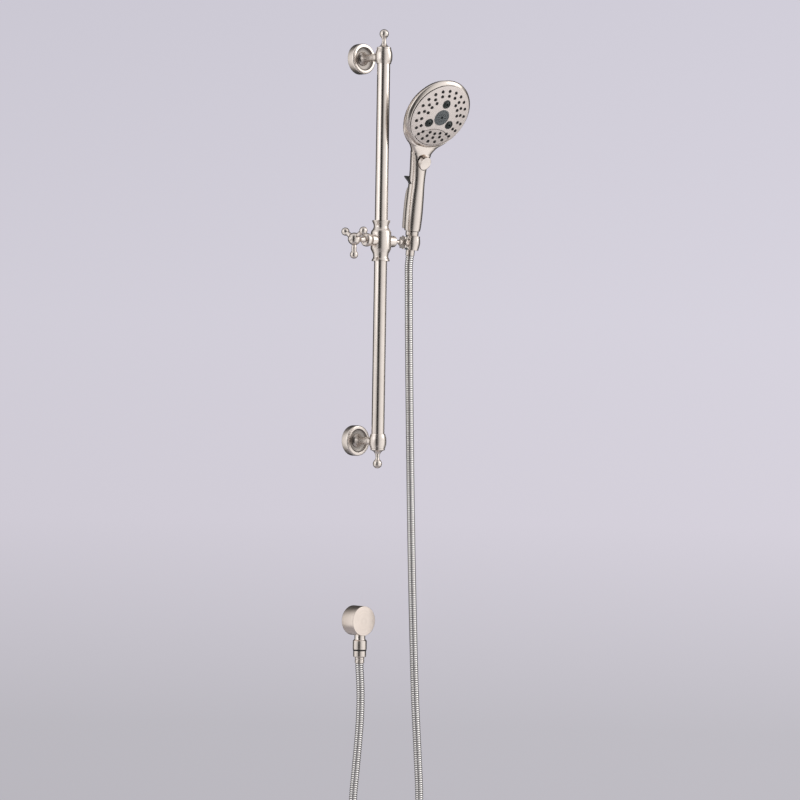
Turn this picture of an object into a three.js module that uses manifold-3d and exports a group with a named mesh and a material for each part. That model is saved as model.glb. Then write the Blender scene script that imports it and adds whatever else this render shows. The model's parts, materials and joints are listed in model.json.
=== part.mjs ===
// Hand shower on a wall-mounted slide bar, with its hose and wall supply elbow.
// Millimetres, +Z up. The wall is the plane y = 0 and the shower stands out towards -Y.
// The origin is the centre of the upper wall plate's back face.
import * as THREE from "three";
import { mergeVertices } from "three/addons/utils/BufferGeometryUtils.js";
import Module from "manifold-3d";

const wasm = await Module();
wasm.setup();

// ---- driving dimensions ----
const FINE = 20; // sides of the large round parts
const MEDIUM = 14; // sides of the middling round parts
const SMALL = 10; // sides of the small round parts
const GAP = 0.3; // clearance between pieces that touch

const BAR_RADIUS = 11.25;
const BAR_BORE = 9.75;
const BAR_OUT = 65; // bar axis from the wall
const BRACKET_PITCH = 670;
const BARREL_HALF = 12.75;

const SLIDER_Z = -321;
const SLIDER_BORE = 11.6;
const HOLDER_X = 71.5; // holder axis from the bar axis
const HOLDER_TILT = THREE.MathUtils.degToRad(7);
const HANDSET_YAW = THREE.MathUtils.degToRad(-4.5);

const ELBOW_X = 6;
const ELBOW_Z = -986;
const OUTLET_OUT = 19.7; // outlet axis from the wall

const HEAD_TILT = THREE.MathUtils.degToRad(25.3); // spray face from the handle axis
const HEAD_FORWARD = 46.3; // face centre in front of the handle axis
const HEAD_HEIGHT = 224.8; // face centre above the holder
const RIM_RADIUS = 65;
const PLATE_RADIUS = 59;
const DOME_RISE = 6; // the face plate's centre stands this far proud of its edge

const HOSE_RADIUS = 7.25;

// ---- materials ----
function metal(colour, roughness) {
  return new THREE.MeshStandardMaterial({ color: colour, roughness, metalness: 1 });
}
function plastic(colour, roughness) {
  return new THREE.MeshStandardMaterial({ color: colour, roughness, metalness: 0 });
}
const nickel = () => metal(0xd6cec4, 0.28);
const brass = () => metal(0xb59a5c, 0.4);
const steel = () => metal(0xb8b8ba, 0.35);
const satinPlate = () => plastic(0xcfc5b8, 0.45);
const greyPlastic = () => plastic(0x6e7376, 0.5);
const darkPlastic = () => plastic(0x4a4d50, 0.45);
const nylon = () => plastic(0xe6e2d8, 0.6);
const rubber = () => plastic(0x26272a, 0.8);

// ---- solids ----
function toSolid(geometry) {
  const bare = geometry.clone();
  bare.deleteAttribute("normal");
  bare.deleteAttribute("uv");
  const merged = mergeVertices(bare, 1e-3);
  const triangles = new Uint32Array(merged.index.array);
  const build = () =>
    new wasm.Manifold(
      new wasm.Mesh({
        numProp: 3,
        vertProperties: new Float32Array(merged.attributes.position.array),
        triVerts: triangles,
      }),
    );
  const solid = build();
  if (solid.volume() > 0) return solid;
  for (let i = 0; i < triangles.length; i += 3) {
    [triangles[i + 1], triangles[i + 2]] = [triangles[i + 2], triangles[i + 1]];
  }
  return build();
}

function toGeometry(solid) {
  const mesh = solid.getMesh();
  const stride = mesh.numProp;
  const positions = new Float32Array(mesh.numVert * 3);
  for (let i = 0; i < mesh.numVert; i++) {
    positions.set(mesh.vertProperties.subarray(i * stride, i * stride + 3), i * 3);
  }
  return new THREE.BufferGeometry()
    .setAttribute("position", new THREE.BufferAttribute(positions, 3))
    .setIndex(new THREE.BufferAttribute(mesh.triVerts, 1));
}

function piece(name, solid, material, parent) {
  const geometry = toGeometry(solid);
  geometry.computeVertexNormals();
  const mesh = new THREE.Mesh(geometry, material);
  mesh.name = name;
  parent.add(mesh);
  return mesh;
}

// A profile of [radius, height] points, starting and ending on the axis, turned about Z.
function turned(profile, sides = MEDIUM) {
  const points = profile.map(([r, z]) => new THREE.Vector2(r, z));
  const geometry = new THREE.LatheGeometry(points, sides);
  return toSolid(geometry.rotateX(Math.PI / 2));
}

// The same for a profile that closes on itself, which leaves a bore.
function turnedRing(profile, sides = MEDIUM) {
  return turned([...profile, profile[0]], sides);
}

function rod(radius, low, high, sides = MEDIUM) {
  return turned([[0, low], [radius, low], [radius, high], [0, high]], sides);
}

function tube(outer, inner, low, high, sides = MEDIUM) {
  return turnedRing([[inner, low], [outer, low], [outer, high], [inner, high]], sides);
}

function block(x0, x1, y0, y1, z0, z1) {
  const box = new THREE.BoxGeometry(x1 - x0, y1 - y0, z1 - z0);
  return toSolid(box.translate((x0 + x1) / 2, (y0 + y1) / 2, (z0 + z1) / 2));
}

function ball(radius, z, sides = MEDIUM) {
  const half = sides / 2;
  const profile = [];
  for (let i = 0; i <= half; i++) {
    const angle = (Math.PI * i) / half;
    profile.push([i % half ? radius * Math.sin(angle) : 0, z - radius * Math.cos(angle)]);
  }
  return turned(profile, sides);
}

// Moves a solid: its Z axis is laid along "towards" (a unit vector), then it is shifted.
function laid(solid, towards, shift = [0, 0, 0]) {
  const turn = new THREE.Quaternion().setFromUnitVectors(
    new THREE.Vector3(0, 0, 1),
    new THREE.Vector3(...towards).normalize(),
  );
  const matrix = new THREE.Matrix4().makeRotationFromQuaternion(turn);
  matrix.setPosition(...shift);
  return toSolid(toGeometry(solid).applyMatrix4(matrix));
}

function shifted(solid, x, y, z) {
  return laid(solid, [0, 0, 1], [x, y, z]);
}

// Rings of points, all with the same count, joined into a closed skin with flat ends.
function lofted(rings) {
  const count = rings[0].length;
  const positions = [];
  const triangles = [];
  for (const ring of rings) for (const p of ring) positions.push(...p);
  for (let i = 0; i + 1 < rings.length; i++) {
    for (let j = 0; j < count; j++) {
      const a = i * count + j;
      const b = i * count + ((j + 1) % count);
      triangles.push(a, b, b + count, a, b + count, a + count);
    }
  }
  for (const end of [0, rings.length - 1]) {
    const centre = new THREE.Vector3();
    for (const p of rings[end]) centre.add(new THREE.Vector3(...p));
    centre.divideScalar(count);
    const middle = positions.length / 3;
    positions.push(centre.x, centre.y, centre.z);
    for (let j = 0; j < count; j++) {
      const a = end * count + j;
      const b = end * count + ((j + 1) % count);
      triangles.push(...(end ? [a, b, middle] : [b, a, middle]));
    }
  }
  const geometry = new THREE.BufferGeometry()
    .setAttribute("position", new THREE.BufferAttribute(new Float32Array(positions), 3))
    .setIndex(triangles);
  return toSolid(geometry);
}

function wire(points, radius, sides, steps) {
  const section = new THREE.Shape();
  for (let i = 0; i < sides; i++) {
    const angle = (2 * Math.PI * i) / sides;
    const x = radius * Math.cos(angle);
    const y = radius * Math.sin(angle);
    if (i) section.lineTo(x, y);
    else section.moveTo(x, y);
  }
  section.closePath();
  const path = new THREE.CatmullRomCurve3(points.map((p) => new THREE.Vector3(...p)));
  return toSolid(
    new THREE.ExtrudeGeometry(section, { steps, extrudePath: path, bevelEnabled: false }),
  );
}

function coilSpring(radius, wireRadius, low, high, turns) {
  const perTurn = 8;
  const points = [];
  for (let i = 0; i <= turns * perTurn; i++) {
    const angle = (2 * Math.PI * i) / perTurn;
    const z = low + wireRadius + ((high - low - 2 * wireRadius) * i) / (turns * perTurn);
    points.push([radius * Math.cos(angle), radius * Math.sin(angle), z]);
  }
  return wire(points, wireRadius, 5, turns * perTurn);
}

const root = new THREE.Group();

// ---- wall brackets, bar and finials ----
const WALL_OUT = [0, -1, 0];
const WALL_SCREW_HOLE = 2.6;
const WALL_SCREW_PITCH = 28;
const SET_SCREW_OUT = 3.3; // set screw axis from the wall

function wallPlate(name, z) {
  let plate = turned([[0, 0], [22, 0], [22, 6], [6, 6], [6, 17], [0, 17]], MEDIUM);
  for (const side of [-1, 1]) {
    plate = plate.subtract(shifted(rod(WALL_SCREW_HOLE, -1, 8, 12), 0, side * WALL_SCREW_PITCH / 2, 0));
  }
  const mesh = piece(name, laid(plate, WALL_OUT), steel(), root);
  mesh.position.z = z;
}

function flange(name, z) {
  const ring = turnedRing(
    [
      [24.3, 0], [26.75, 0], [26.75, 9.5], [25.2, 13.6], [22.6, 15], [20, 14.3], [18.2, 12.4],
      [12, 10.6], [6.4, 10.6], [6.4, 8.2], [20.5, 8.2], [24.3, 6.4],
    ],
    FINE,
  );
  const screwHole = laid(rod(2.2, 20, 30, 12), [0, -1, 0], [0, 0, SET_SCREW_OUT]);
  const solid = laid(ring.subtract(screwHole), WALL_OUT);
  const mesh = piece(name, solid, nickel(), root);
  mesh.position.z = z;
}

function setScrew(name, z) {
  const screw = turned([[0, 22.4], [1.9, 22.4], [1.9, 26.5], [0.9, 26.5], [0.9, 25], [0, 25]], 12);
  const mesh = piece(name, laid(screw, [0, 0, -1]), steel(), root);
  mesh.position.set(0, -SET_SCREW_OUT, z);
}

function bracket(name, z) {
  const arm = turned(
    [
      [0, 10.9], [12.2, 10.9], [11.9, 12], [9.3, 15], [7.3, 20], [6.3, 27], [6, 38],
      [6, 40.6], [7.3, 41.2], [7.3, 43], [6, 43.6], [6, 58], [0, 58],
    ],
    MEDIUM,
  ).subtract(rod(6.3, 10, 17.6));
  const barrel = turned(
    [
      [0, -BARREL_HALF], [12.75, -BARREL_HALF], [13.1, -11], [14.6, -6], [15, 0], [14.6, 6],
      [13.1, 11], [12.75, BARREL_HALF], [0, BARREL_HALF],
    ],
    MEDIUM,
  );
  const solid = laid(arm, WALL_OUT)
    .add(shifted(barrel, 0, -BAR_OUT, 0))
    .subtract(shifted(rod(BAR_RADIUS + GAP, -20, 20, FINE), 0, -BAR_OUT, 0));
  const mesh = piece(name, solid, nickel(), root);
  mesh.position.z = z;
}

function finial(name, z, flip) {
  const profile = [
    [0, -9.7], [9.4, -9.7], [9.4, 0], [12.5, 0], [12.5, 2.4], [9.6, 3.3], [7, 5],
    [4.6, 8.6], [3.6, 12.5], [3.5, 16.5], [4.3, 18.6],
  ];
  const ballRadius = 8;
  const ballCentre = 26.2;
  for (let degrees = 55; degrees < 180; degrees += 25) {
    const angle = THREE.MathUtils.degToRad(degrees);
    profile.push([ballRadius * Math.sin(angle), ballCentre - ballRadius * Math.cos(angle)]);
  }
  profile.push([0, ballCentre + ballRadius]);
  const solid = laid(turned(profile), [0, 0, flip]);
  const mesh = piece(name, solid, nickel(), root);
  mesh.position.set(0, -BAR_OUT, z + flip * (BARREL_HALF + GAP));
}

for (const [level, z, flip] of [["upper", 0, 1], ["lower", -BRACKET_PITCH, -1]]) {
  wallPlate(level + "_wall_plate", z);
  flange(level + "_flange", z);
  setScrew(level + "_set_screw", z);
  bracket(level + "_bracket", z);
  finial(level + "_finial", z, flip);
}

const bar = tube(BAR_RADIUS, BAR_BORE, -BRACKET_PITCH - 12.4, 12.4, FINE);
piece("slide_bar", bar, nickel(), root).position.y = -BAR_OUT;

// ---- wall supply elbow and its outlet ----
function elbow() {
  const group = new THREE.Group();
  group.position.set(ELBOW_X, 0, ELBOW_Z);
  root.add(group);
  const drum = turned(
    [
      [0, 28.2], [24.2, 28.2], [24.2, 0], [26, 0], [26, 29.2], [25.2, 30], [0, 30],
    ],
    FINE,
  );
  const outletHole = shifted(rod(9.8, -27, -18), 0, -OUTLET_OUT, 0);
  const cover = laid(drum, WALL_OUT).subtract(outletHole);
  piece("elbow_cover", cover, nickel(), group);

  const body = laid(rod(13, 0, 27), WALL_OUT)
    .add(shifted(rod(8, -18, 0), 0, -OUTLET_OUT, 0))
    .subtract(laid(rod(9.3, -1, 16), WALL_OUT))
    .subtract(shifted(rod(5.6, -19, -2), 0, -OUTLET_OUT, 0))
    .subtract(laid(rod(5.6, 15, 22), WALL_OUT));
  piece("elbow_body", body, brass(), group);
}
elbow();

const outlet = new THREE.Group(); // heights below are measured down from the elbow's outlet
outlet.position.set(ELBOW_X, -OUTLET_OUT, ELBOW_Z);
root.add(outlet);

function outletParts() {
  const nipple = turnedRing([
    [5.6, -18.3], [9.5, -18.3], [9.5, -32], [12.2, -34.4], [12.2, -50], [8.5, -50],
    [8.5, -56.5], [5.2, -56.5], [5.2, -50], [8.2, -50], [8.2, -34], [5.6, -34],
  ]);
  piece("outlet_nipple", nipple, nickel(), outlet);

  const valveBody = turnedRing(
    [
      [4.2, -36], [7.9, -36], [7.9, -48.6], [2.2, -48.6], [2.2, -47], [6.6, -47], [6.6, -39.2],
      [4.2, -37.6],
    ],
    SMALL,
  );
  piece("check_valve_body", valveBody, nylon(), outlet);
  const poppet = turned(
    [[0, -38.4], [3.4, -38.4], [5.7, -40], [5.7, -41.4], [1.5, -41.4], [1.5, -45.6], [0, -45.6]],
    SMALL,
  );
  piece("check_valve_poppet", poppet, nylon(), outlet);
  piece("check_valve_spring", coilSpring(3.6, 0.4, -46.6, -41.7, 3), steel(), outlet);
  piece("outlet_gasket", tube(12, 8.8, -52.2, -50.3), rubber(), outlet);

  const nut = turnedRing([
    [8.8, -52.5], [11.3, -52.5], [11.3, -62.6], [10.5, -63.4], [6.6, -63.4], [6.6, -60],
    [8.8, -60],
  ]);
  piece("outlet_hose_nut", nut, nickel(), outlet);
  const ferrule = turnedRing([
    [4.5, -57.2], [8.4, -57.2], [8.4, -59.7], [6.3, -59.7], [6.3, -63.7], [8.2, -63.7],
    [8.2, -74], [4.5, -74],
  ]);
  piece("outlet_ferrule", ferrule, nickel(), outlet);
}
outletParts();

// ---- slider on the bar ----
const slider = new THREE.Group();
slider.position.set(0, -BAR_OUT, SLIDER_Z);
root.add(slider);

const STUB_SHOE_BORE = 6.6;
const STUB_END = 31.2; // end of the swivel stub, from the bar axis
const PIN_RADIUS = 3; // swivel pin
const BUSH_LENGTH = 4.6;

function sliderBody() {
  const outside = turned(
    [
      [0, -35.3], [15.85, -35.3], [15.6, -33.6], [13.5, -29.6], [13.15, -26.7], [13.8, -22.6],
      [16.2, -17.6], [17.85, -14.4], [17.85, 14.4], [15.3, 18.7], [14.2, 20.6], [12.9, 23.8],
      [13.3, 28.2], [15.6, 33.6], [15.85, 35.3], [0, 35.3],
    ],
    FINE,
  );
  const clampStub = laid(rod(9.9, 5, 25.6), [-1, 0, 0]);
  const swivelStub = laid(
    turned([[0, 5], [10, 5], [10, 28.4], [9.2, 30.4], [7.8, STUB_END], [0, STUB_END]]),
    [1, 0, 0],
  );
  let body = outside.add(clampStub).add(swivelStub);
  body = body.subtract(rod(SLIDER_BORE, -40, 40, FINE));
  for (const end of [-1, 1]) {
    const inner = end * (35.6 - BUSH_LENGTH);
    const outer = end * 40;
    body = body.subtract(rod(13.2, Math.min(inner, outer), Math.max(inner, outer), FINE));
  }
  body = body.subtract(laid(rod(STUB_SHOE_BORE, 8, 30), [-1, 0, 0]));
  body = body.subtract(laid(rod(6.1, 8, 22), [1, 0, 0]));
  body = body.subtract(laid(rod(PIN_RADIUS + GAP, 20, 45), [1, 0, 0]));
  body = body.subtract(laid(rod(6.8, STUB_END - 3, 45), [1, 0, 0]));
  piece("slider_body", body, nickel(), slider);
}
sliderBody();

for (const [name, low] of [["upper", 35.3 - BUSH_LENGTH + GAP], ["lower", -35.3]]) {
  const bush = tube(12.9, BAR_RADIUS + 0.1, low, low + BUSH_LENGTH - GAP, FINE);
  piece("slider_bush_" + name, bush, nylon(), slider);
}

// ---- clamp: its axis runs out of the slider towards -X ----
const clampOut = [-1, 0, 0];
const HUB_OUT = 62;
const HUB_RADIUS = 11;

function clampFixed() {
  const bonnet = turnedRing(
    [
      [3.3, 24], [6.3, 24], [6.3, 25.9], [9.2, 25.9], [9.6, 27.2], [11.2, 30], [11.7, 33.4],
      [11.2, 36.6], [9.4, 38.8], [6.2, 39.4], [3.3, 39.4],
    ],
    MEDIUM,
  );
  piece("clamp_bonnet", laid(bonnet, clampOut), nickel(), slider);

  const shoe = laid(rod(6.2, 8, 21.5).subtract(rod(3.3, 14.6, 23)), clampOut);
  const barSpace = rod(BAR_RADIUS + GAP, -12, 12, FINE);
  piece("clamp_shoe", shoe.subtract(barSpace), nylon(), slider);
}
clampFixed();

const clampHandle = new THREE.Group();
slider.add(clampHandle);

function clampTurning() {
  const stem = turned(
    [[0, 17], [3, 17], [3, 39.7], [5.4, 39.7], [4.4, 43], [4.5, 48], [5, 50.5], [3, 50.5], [3, 58], [0, 58]],
    SMALL,
  );
  piece("clamp_stem", laid(stem, clampOut), nickel(), clampHandle);

  const hubCentre = [-HUB_OUT, 0, 0];
  let hub = laid(ball(HUB_RADIUS, HUB_OUT), clampOut);
  hub = hub.subtract(laid(rod(5.4, 49, 51.6, SMALL), clampOut));
  hub = hub.subtract(laid(rod(3.3, 49, 58.3, SMALL), clampOut));
  hub = hub.subtract(laid(rod(4.3, 70.6, 75, SMALL), clampOut));
  for (let i = 0; i < 3; i++) {
    const angle = -Math.PI / 2 + (2 * Math.PI * i) / 3;
    const towards = [0, Math.cos(angle), Math.sin(angle)];
    hub = hub.subtract(laid(rod(3.1, 6.2, 12, SMALL), towards, hubCentre));
    const spoke = turned(
      [
        [0, 6.5], [2.8, 6.5], [2.8, 10.7], [3.7, 10.75], [4.3, 13], [4.4, 17], [4.2, 20.4],
        [5.7, 22.9], [6.7, 24.9], [7, 27], [6.7, 29.1], [5.7, 31.1], [4, 32.8], [2, 33.7], [0, 34],
      ],
      SMALL,
    );
    piece("clamp_spoke_" + (i + 1), laid(spoke, towards, hubCentre), nickel(), clampHandle);
  }
  piece("clamp_hub", hub, nickel(), clampHandle);

  const cap = turned([[0, 70.9], [4, 70.9], [4, 72.3], [2.8, 73], [0, 73.3]], SMALL);
  piece("clamp_hub_cap", laid(cap, clampOut), nickel(), clampHandle);
}
clampTurning();

// ---- swivel and holder: the swivel axis runs out of the slider towards +X ----
const swivelOut = [1, 0, 0];

function scallopedDisc(lobes, radius, depth, low, high) {
  const outline = new THREE.Shape();
  const steps = lobes * 6;
  for (let i = 0; i < steps; i++) {
    const angle = (2 * Math.PI * i) / steps;
    const r = radius - depth * (0.5 - 0.5 * Math.cos(lobes * angle));
    if (i) outline.lineTo(r * Math.cos(angle), r * Math.sin(angle));
    else outline.moveTo(r, 0);
  }
  outline.closePath();
  const geometry = new THREE.ExtrudeGeometry(outline, { depth: high - low, bevelEnabled: false });
  return shifted(toSolid(geometry), 0, 0, low);
}

function swivel() {
  const bore = PIN_RADIUS + GAP;
  const washer = tube(6.5, bore, STUB_END - 2.7, STUB_END - 0.4, SMALL);
  piece("friction_washer", laid(washer, swivelOut), nylon(), slider);
  const pin = turned(
    [[0, 16], [5.7, 16], [5.7, 21.7], [PIN_RADIUS, 21.7], [PIN_RADIUS, 57.2], [0, 57.2]],
    SMALL,
  );
  piece("swivel_pin", laid(pin, swivelOut), nickel(), slider);
  const knob = turned([
    [0, 42.2], [3.9, 42.2], [4.9, 44], [5.3, 46.2], [4.9, 48.4], [4.5, 49.2], [4.5, 51], [0, 51],
  ]);
  const disc = scallopedDisc(10, 12, 2.2, 50.2, 53.5).add(knob).subtract(rod(bore, 40, 55, SMALL));
  piece("swivel_disc", laid(disc, swivelOut), nickel(), slider);
}
swivel();

const holder = new THREE.Group();
holder.position.x = HOLDER_X;
holder.rotation.x = HOLDER_TILT;
slider.add(holder);

const HOLDER_TOP = 12.5;
const CUP_OFFSET = [1.5, -2]; // the cup's outside is thicker in front and away from the bar

function holderParts() {
  const barrel = turned(
    [
      [0, -HOLDER_TOP], [11.3, -HOLDER_TOP], [11.7, -11.8], [11.5, -10.6], [12.6, -6], [13.4, 0],
      [13, 5], [12.1, 9.6], [12.2, 11.4], [11.8, HOLDER_TOP], [0, HOLDER_TOP],
    ],
    MEDIUM,
  );
  const neckLow = 53.8 - HOLDER_X;
  const neck = turned(
    [[0, neckLow], [8.4, neckLow], [7.4, neckLow + 2.2], [7, neckLow + 5], [7, -8.5], [0, -8.5]],
    MEDIUM,
  );
  const pinSocket = rod(PIN_RADIUS + GAP, neckLow - 1, neckLow + 3.7, SMALL);
  const hoseSlot = block(0, 20, -8.3, 8.3, -20, 20);
  const cup = shifted(barrel, ...CUP_OFFSET, 0)
    .add(laid(neck.subtract(pinSocket), swivelOut))
    .subtract(rod(10.7, -20, 20))
    .subtract(hoseSlot);
  piece("holder_cup", cup, nickel(), holder);

  const liner = turnedRing([
    [8.85, -HOLDER_TOP], [10.5, -HOLDER_TOP], [10.5, HOLDER_TOP], [9.95, HOLDER_TOP],
  ]).subtract(hoseSlot);
  piece("holder_liner", liner, greyPlastic(), holder);
}
holderParts();

// ---- hand shower: z runs up the handle, -y is the spray side ----
const handset = new THREE.Group();
handset.rotation.z = HANDSET_YAW;
holder.add(handset);

function hoseEnd() {
  const ferrule = turnedRing([
    [4.2, -22.5], [7.8, -22.5], [7.8, -10.4], [6, -10.4], [6, 8.3], [7.8, 8.3], [7.8, 10.6],
    [4.2, 10.6],
  ]);
  piece("hose_ferrule_top", ferrule, nickel(), holder);
}
hoseEnd();

function inletParts() {
  const nut = turnedRing([
    [6.3, -10], [8.5, -10], [9.6, 12.7], [11.1, 12.8], [11.5, 13.6], [11.5, 19.9], [11, 20.7],
    [8.3, 20.7], [8.3, 8], [6.3, 8],
  ]);
  piece("cone_nut", nut, nickel(), handset);
  piece("inlet_gasket", tube(7.9, 4.4, 10.9, 13.1, SMALL), rubber(), handset);
  const pipe = turnedRing(
    [
      [3.8, 13.4], [8, 13.4], [8, 24.2], [10, 24.2], [10, 28], [5.6, 31], [5.4, 84], [3.8, 84],
    ],
    SMALL,
  );
  piece("inlet_pipe", pipe, brass(), handset);
}
inletParts();

// Stations of the handle and head, each a front and a back point as [forward, height], the half
// width, and how far the widest place is moved to the front (0 = a plain ellipse).
const STATIONS = [
  { front: [13.1, 21], back: [-13.9, 21], width: 13.6, egg: 0 },
  { front: [14.2, 27], back: [-14.8, 27], width: 14.6, egg: 0 },
  { front: [14.9, 48], back: [-15.9, 48], width: 15.5, egg: 0 },
  { front: [14.5, 74], back: [-16.3, 74], width: 15.1, egg: 0 },
  { front: [13.8, 104], back: [-16.2, 104], width: 13.8, egg: 0 },
  { front: [13.6, 126], back: [-15.9, 126], width: 14.4, egg: 0.03 },
  { front: [14.2, 143], back: [-15.8, 148], width: 17, egg: 0.1 },
  { front: [15.2, 154], back: [-14.4, 165], width: 20.8, egg: 0.2 },
  { front: [15.6, 161], back: [-11.5, 179], width: 26.5, egg: 0.28 },
  { front: [15.6, 165], back: [-7.5, 191], width: 33, egg: 0.28 },
  { front: [15.5, 166.6], back: [-2.6, 202.5], width: 40, egg: 0.22 },
  { front: [15.3, 167.9], back: [14.6, 231.5], width: 54, egg: 0.08 },
  { front: [15.1, 168.2], back: [30.2, 261], width: 61, egg: 0 },
  { front: [15, 168.3], back: [45.2, 280.4], width: 63.8, egg: 0 },
  { front: [14.9, 168.4], back: [57.2, 287.6], width: 64.8, egg: 0 },
];

const faceNormal = new THREE.Vector3(0, -Math.cos(HEAD_TILT), -Math.sin(HEAD_TILT));
const faceUp = new THREE.Vector3(0, -Math.sin(HEAD_TILT), Math.cos(HEAD_TILT));
const faceCentre = new THREE.Vector3(0, -HEAD_FORWARD, HEAD_HEIGHT);
const LOFT_SIDES = 20;

// One ring of the loft, drawn in by "inset".
function stationRing(station, inset) {
  const front = new THREE.Vector3(0, -station.front[0], station.front[1]);
  const back = new THREE.Vector3(0, -station.back[0], station.back[1]);
  const half = front.clone().sub(back).multiplyScalar(0.5);
  const middle = front.clone().add(back).multiplyScalar(0.5);
  const shrink = 1 - inset / half.length();
  const width = station.width - inset;
  const ring = [];
  for (let i = 0; i < LOFT_SIDES; i++) {
    const angle = (2 * Math.PI * i) / LOFT_SIDES;
    const along = Math.cos(angle);
    const across = Math.sin(angle) * (1 + station.egg * along);
    const p = middle.clone().addScaledVector(half, along * shrink);
    ring.push([across * width, p.y, p.z]);
  }
  return ring;
}

// A circle of the head, "height" in front of the seam of the face plate.
function headRing(radius, height) {
  const middle = faceCentre.clone().addScaledVector(faceNormal, height);
  const ring = [];
  for (let i = 0; i < LOFT_SIDES; i++) {
    const angle = (2 * Math.PI * i) / LOFT_SIDES;
    const p = middle.clone().addScaledVector(faceUp, -radius * Math.cos(angle));
    ring.push([radius * Math.sin(angle), p.y, p.z]);
  }
  return ring;
}

// The rim's back edge, thinner at the foot of the head than at its top.
function rimRing(inset) {
  const middleDepth = 7;
  const lean = 2;
  const radius = RIM_RADIUS - inset;
  const middle = faceCentre.clone().addScaledVector(faceNormal, -middleDepth);
  const ring = [];
  for (let i = 0; i < LOFT_SIDES; i++) {
    const angle = (2 * Math.PI * i) / LOFT_SIDES;
    const along = Math.cos(angle);
    const p = middle.clone().addScaledVector(faceUp, -radius * along);
    p.addScaledVector(faceNormal, lean * along);
    ring.push([radius * Math.sin(angle), p.y, p.z]);
  }
  return ring;
}

// Places a solid made about Z with its origin on the seam plane's centre, +Z out of the face.
function onFace(solid, shift = [0, 0]) {
  const basis = new THREE.Matrix4().makeBasis(
    new THREE.Vector3().crossVectors(faceUp, faceNormal),
    faceUp,
    faceNormal,
  );
  basis.setPosition(faceCentre);
  const local = toGeometry(solid).translate(shift[0], shift[1], 0);
  return toSolid(local.applyMatrix4(basis));
}

const BUTTON_FORWARD = 19.4;
const BUTTON_HEIGHT = 140;
const BUTTON_LONG = 12.5;
const BUTTON_WIDE = 10.8;

// An oval post about the button's own axis, from "low" to "high" outwards from its rest face.
function ovalPost(wide, long, low, high, offset = 0) {
  const outline = new THREE.Shape();
  outline.absellipse(0, offset, wide, long, 0, 2 * Math.PI, false, 0);
  const geometry = new THREE.ExtrudeGeometry(outline, {
    depth: high - low,
    bevelEnabled: false,
    curveSegments: 12,
  });
  return atButton(shifted(toSolid(geometry), 0, 0, low));
}

function atButton(solid) {
  const basis = new THREE.Matrix4().makeBasis(
    new THREE.Vector3().crossVectors(faceUp, faceNormal),
    faceUp,
    faceNormal,
  );
  basis.setPosition(0, -BUTTON_FORWARD, BUTTON_HEIGHT);
  return toSolid(toGeometry(solid).applyMatrix4(basis));
}

const outerLoft = lofted([
  ...STATIONS.map((s) => stationRing(s, 0)),
  rimRing(0),
  headRing(64.2, -3.6),
  headRing(62.4, -2.4),
  headRing(60, -1.9),
]);

function handsetShell() {
  const handleWall = 2.4;
  const headWall = 3.2;
  const headStart = 7; // the first station that belongs to the head
  const cavityStations = STATIONS.map((s, i) => stationRing(s, i < headStart ? handleWall : headWall));
  cavityStations[0] = cavityStations[0].map(([x, y, z]) => [x, y, z + handleWall]);
  const cavity = lofted([...cavityStations, rimRing(3), headRing(60.5, -3.6), headRing(57, 4)]);
  const plug = ovalPost(14.4, 18, -13, 6, 2.5).intersect(outerLoft);
  const body = outerLoft
    .subtract(cavity)
    .add(plug)
    .subtract(ovalPost(12, 15.8, -11.3, 10, 2.5))
    .subtract(atButton(rod(3.4, -20, 0, SMALL)))
    .subtract(rod(8.4, 15, 26, SMALL))
    .subtract(block(-4.4, 4.4, 10, 22, 97.4, 110));
  piece("handset_body", body, nickel(), handset);
}
handsetShell();

// Sections of the grip strip down the handle's back: height, reach behind the axis, half width.
const GRIP_SECTIONS = [
  [24, 20.8, 8], [30, 21.4, 8.5], [58, 22, 8.5], [80, 21.4, 8.5], [91, 19.8, 8.3], [96, 18, 7.4],
];

function backGrip() {
  const rings = [];
  for (const [height, reach, half] of GRIP_SECTIONS) {
    const outline = [
      [-1, 5], [-1, reach - 1.6], [-0.75, reach - 0.4], [0, reach], [0.75, reach - 0.4],
      [1, reach - 1.6], [1, 5],
    ];
    rings.push(outline.map(([x, y]) => [x * half, y, height]));
  }
  const clear = lofted(STATIONS.map((s) => stationRing(s, -GAP)));
  piece("back_grip", lofted(rings).subtract(clear), nickel(), handset);
}
backGrip();

// ---- pause lever and its valve ----
const LEVER_PIVOT_BACK = 13;
const LEVER_PIVOT_HEIGHT = 101;
const VALVE_FORWARD = 2;

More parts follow.
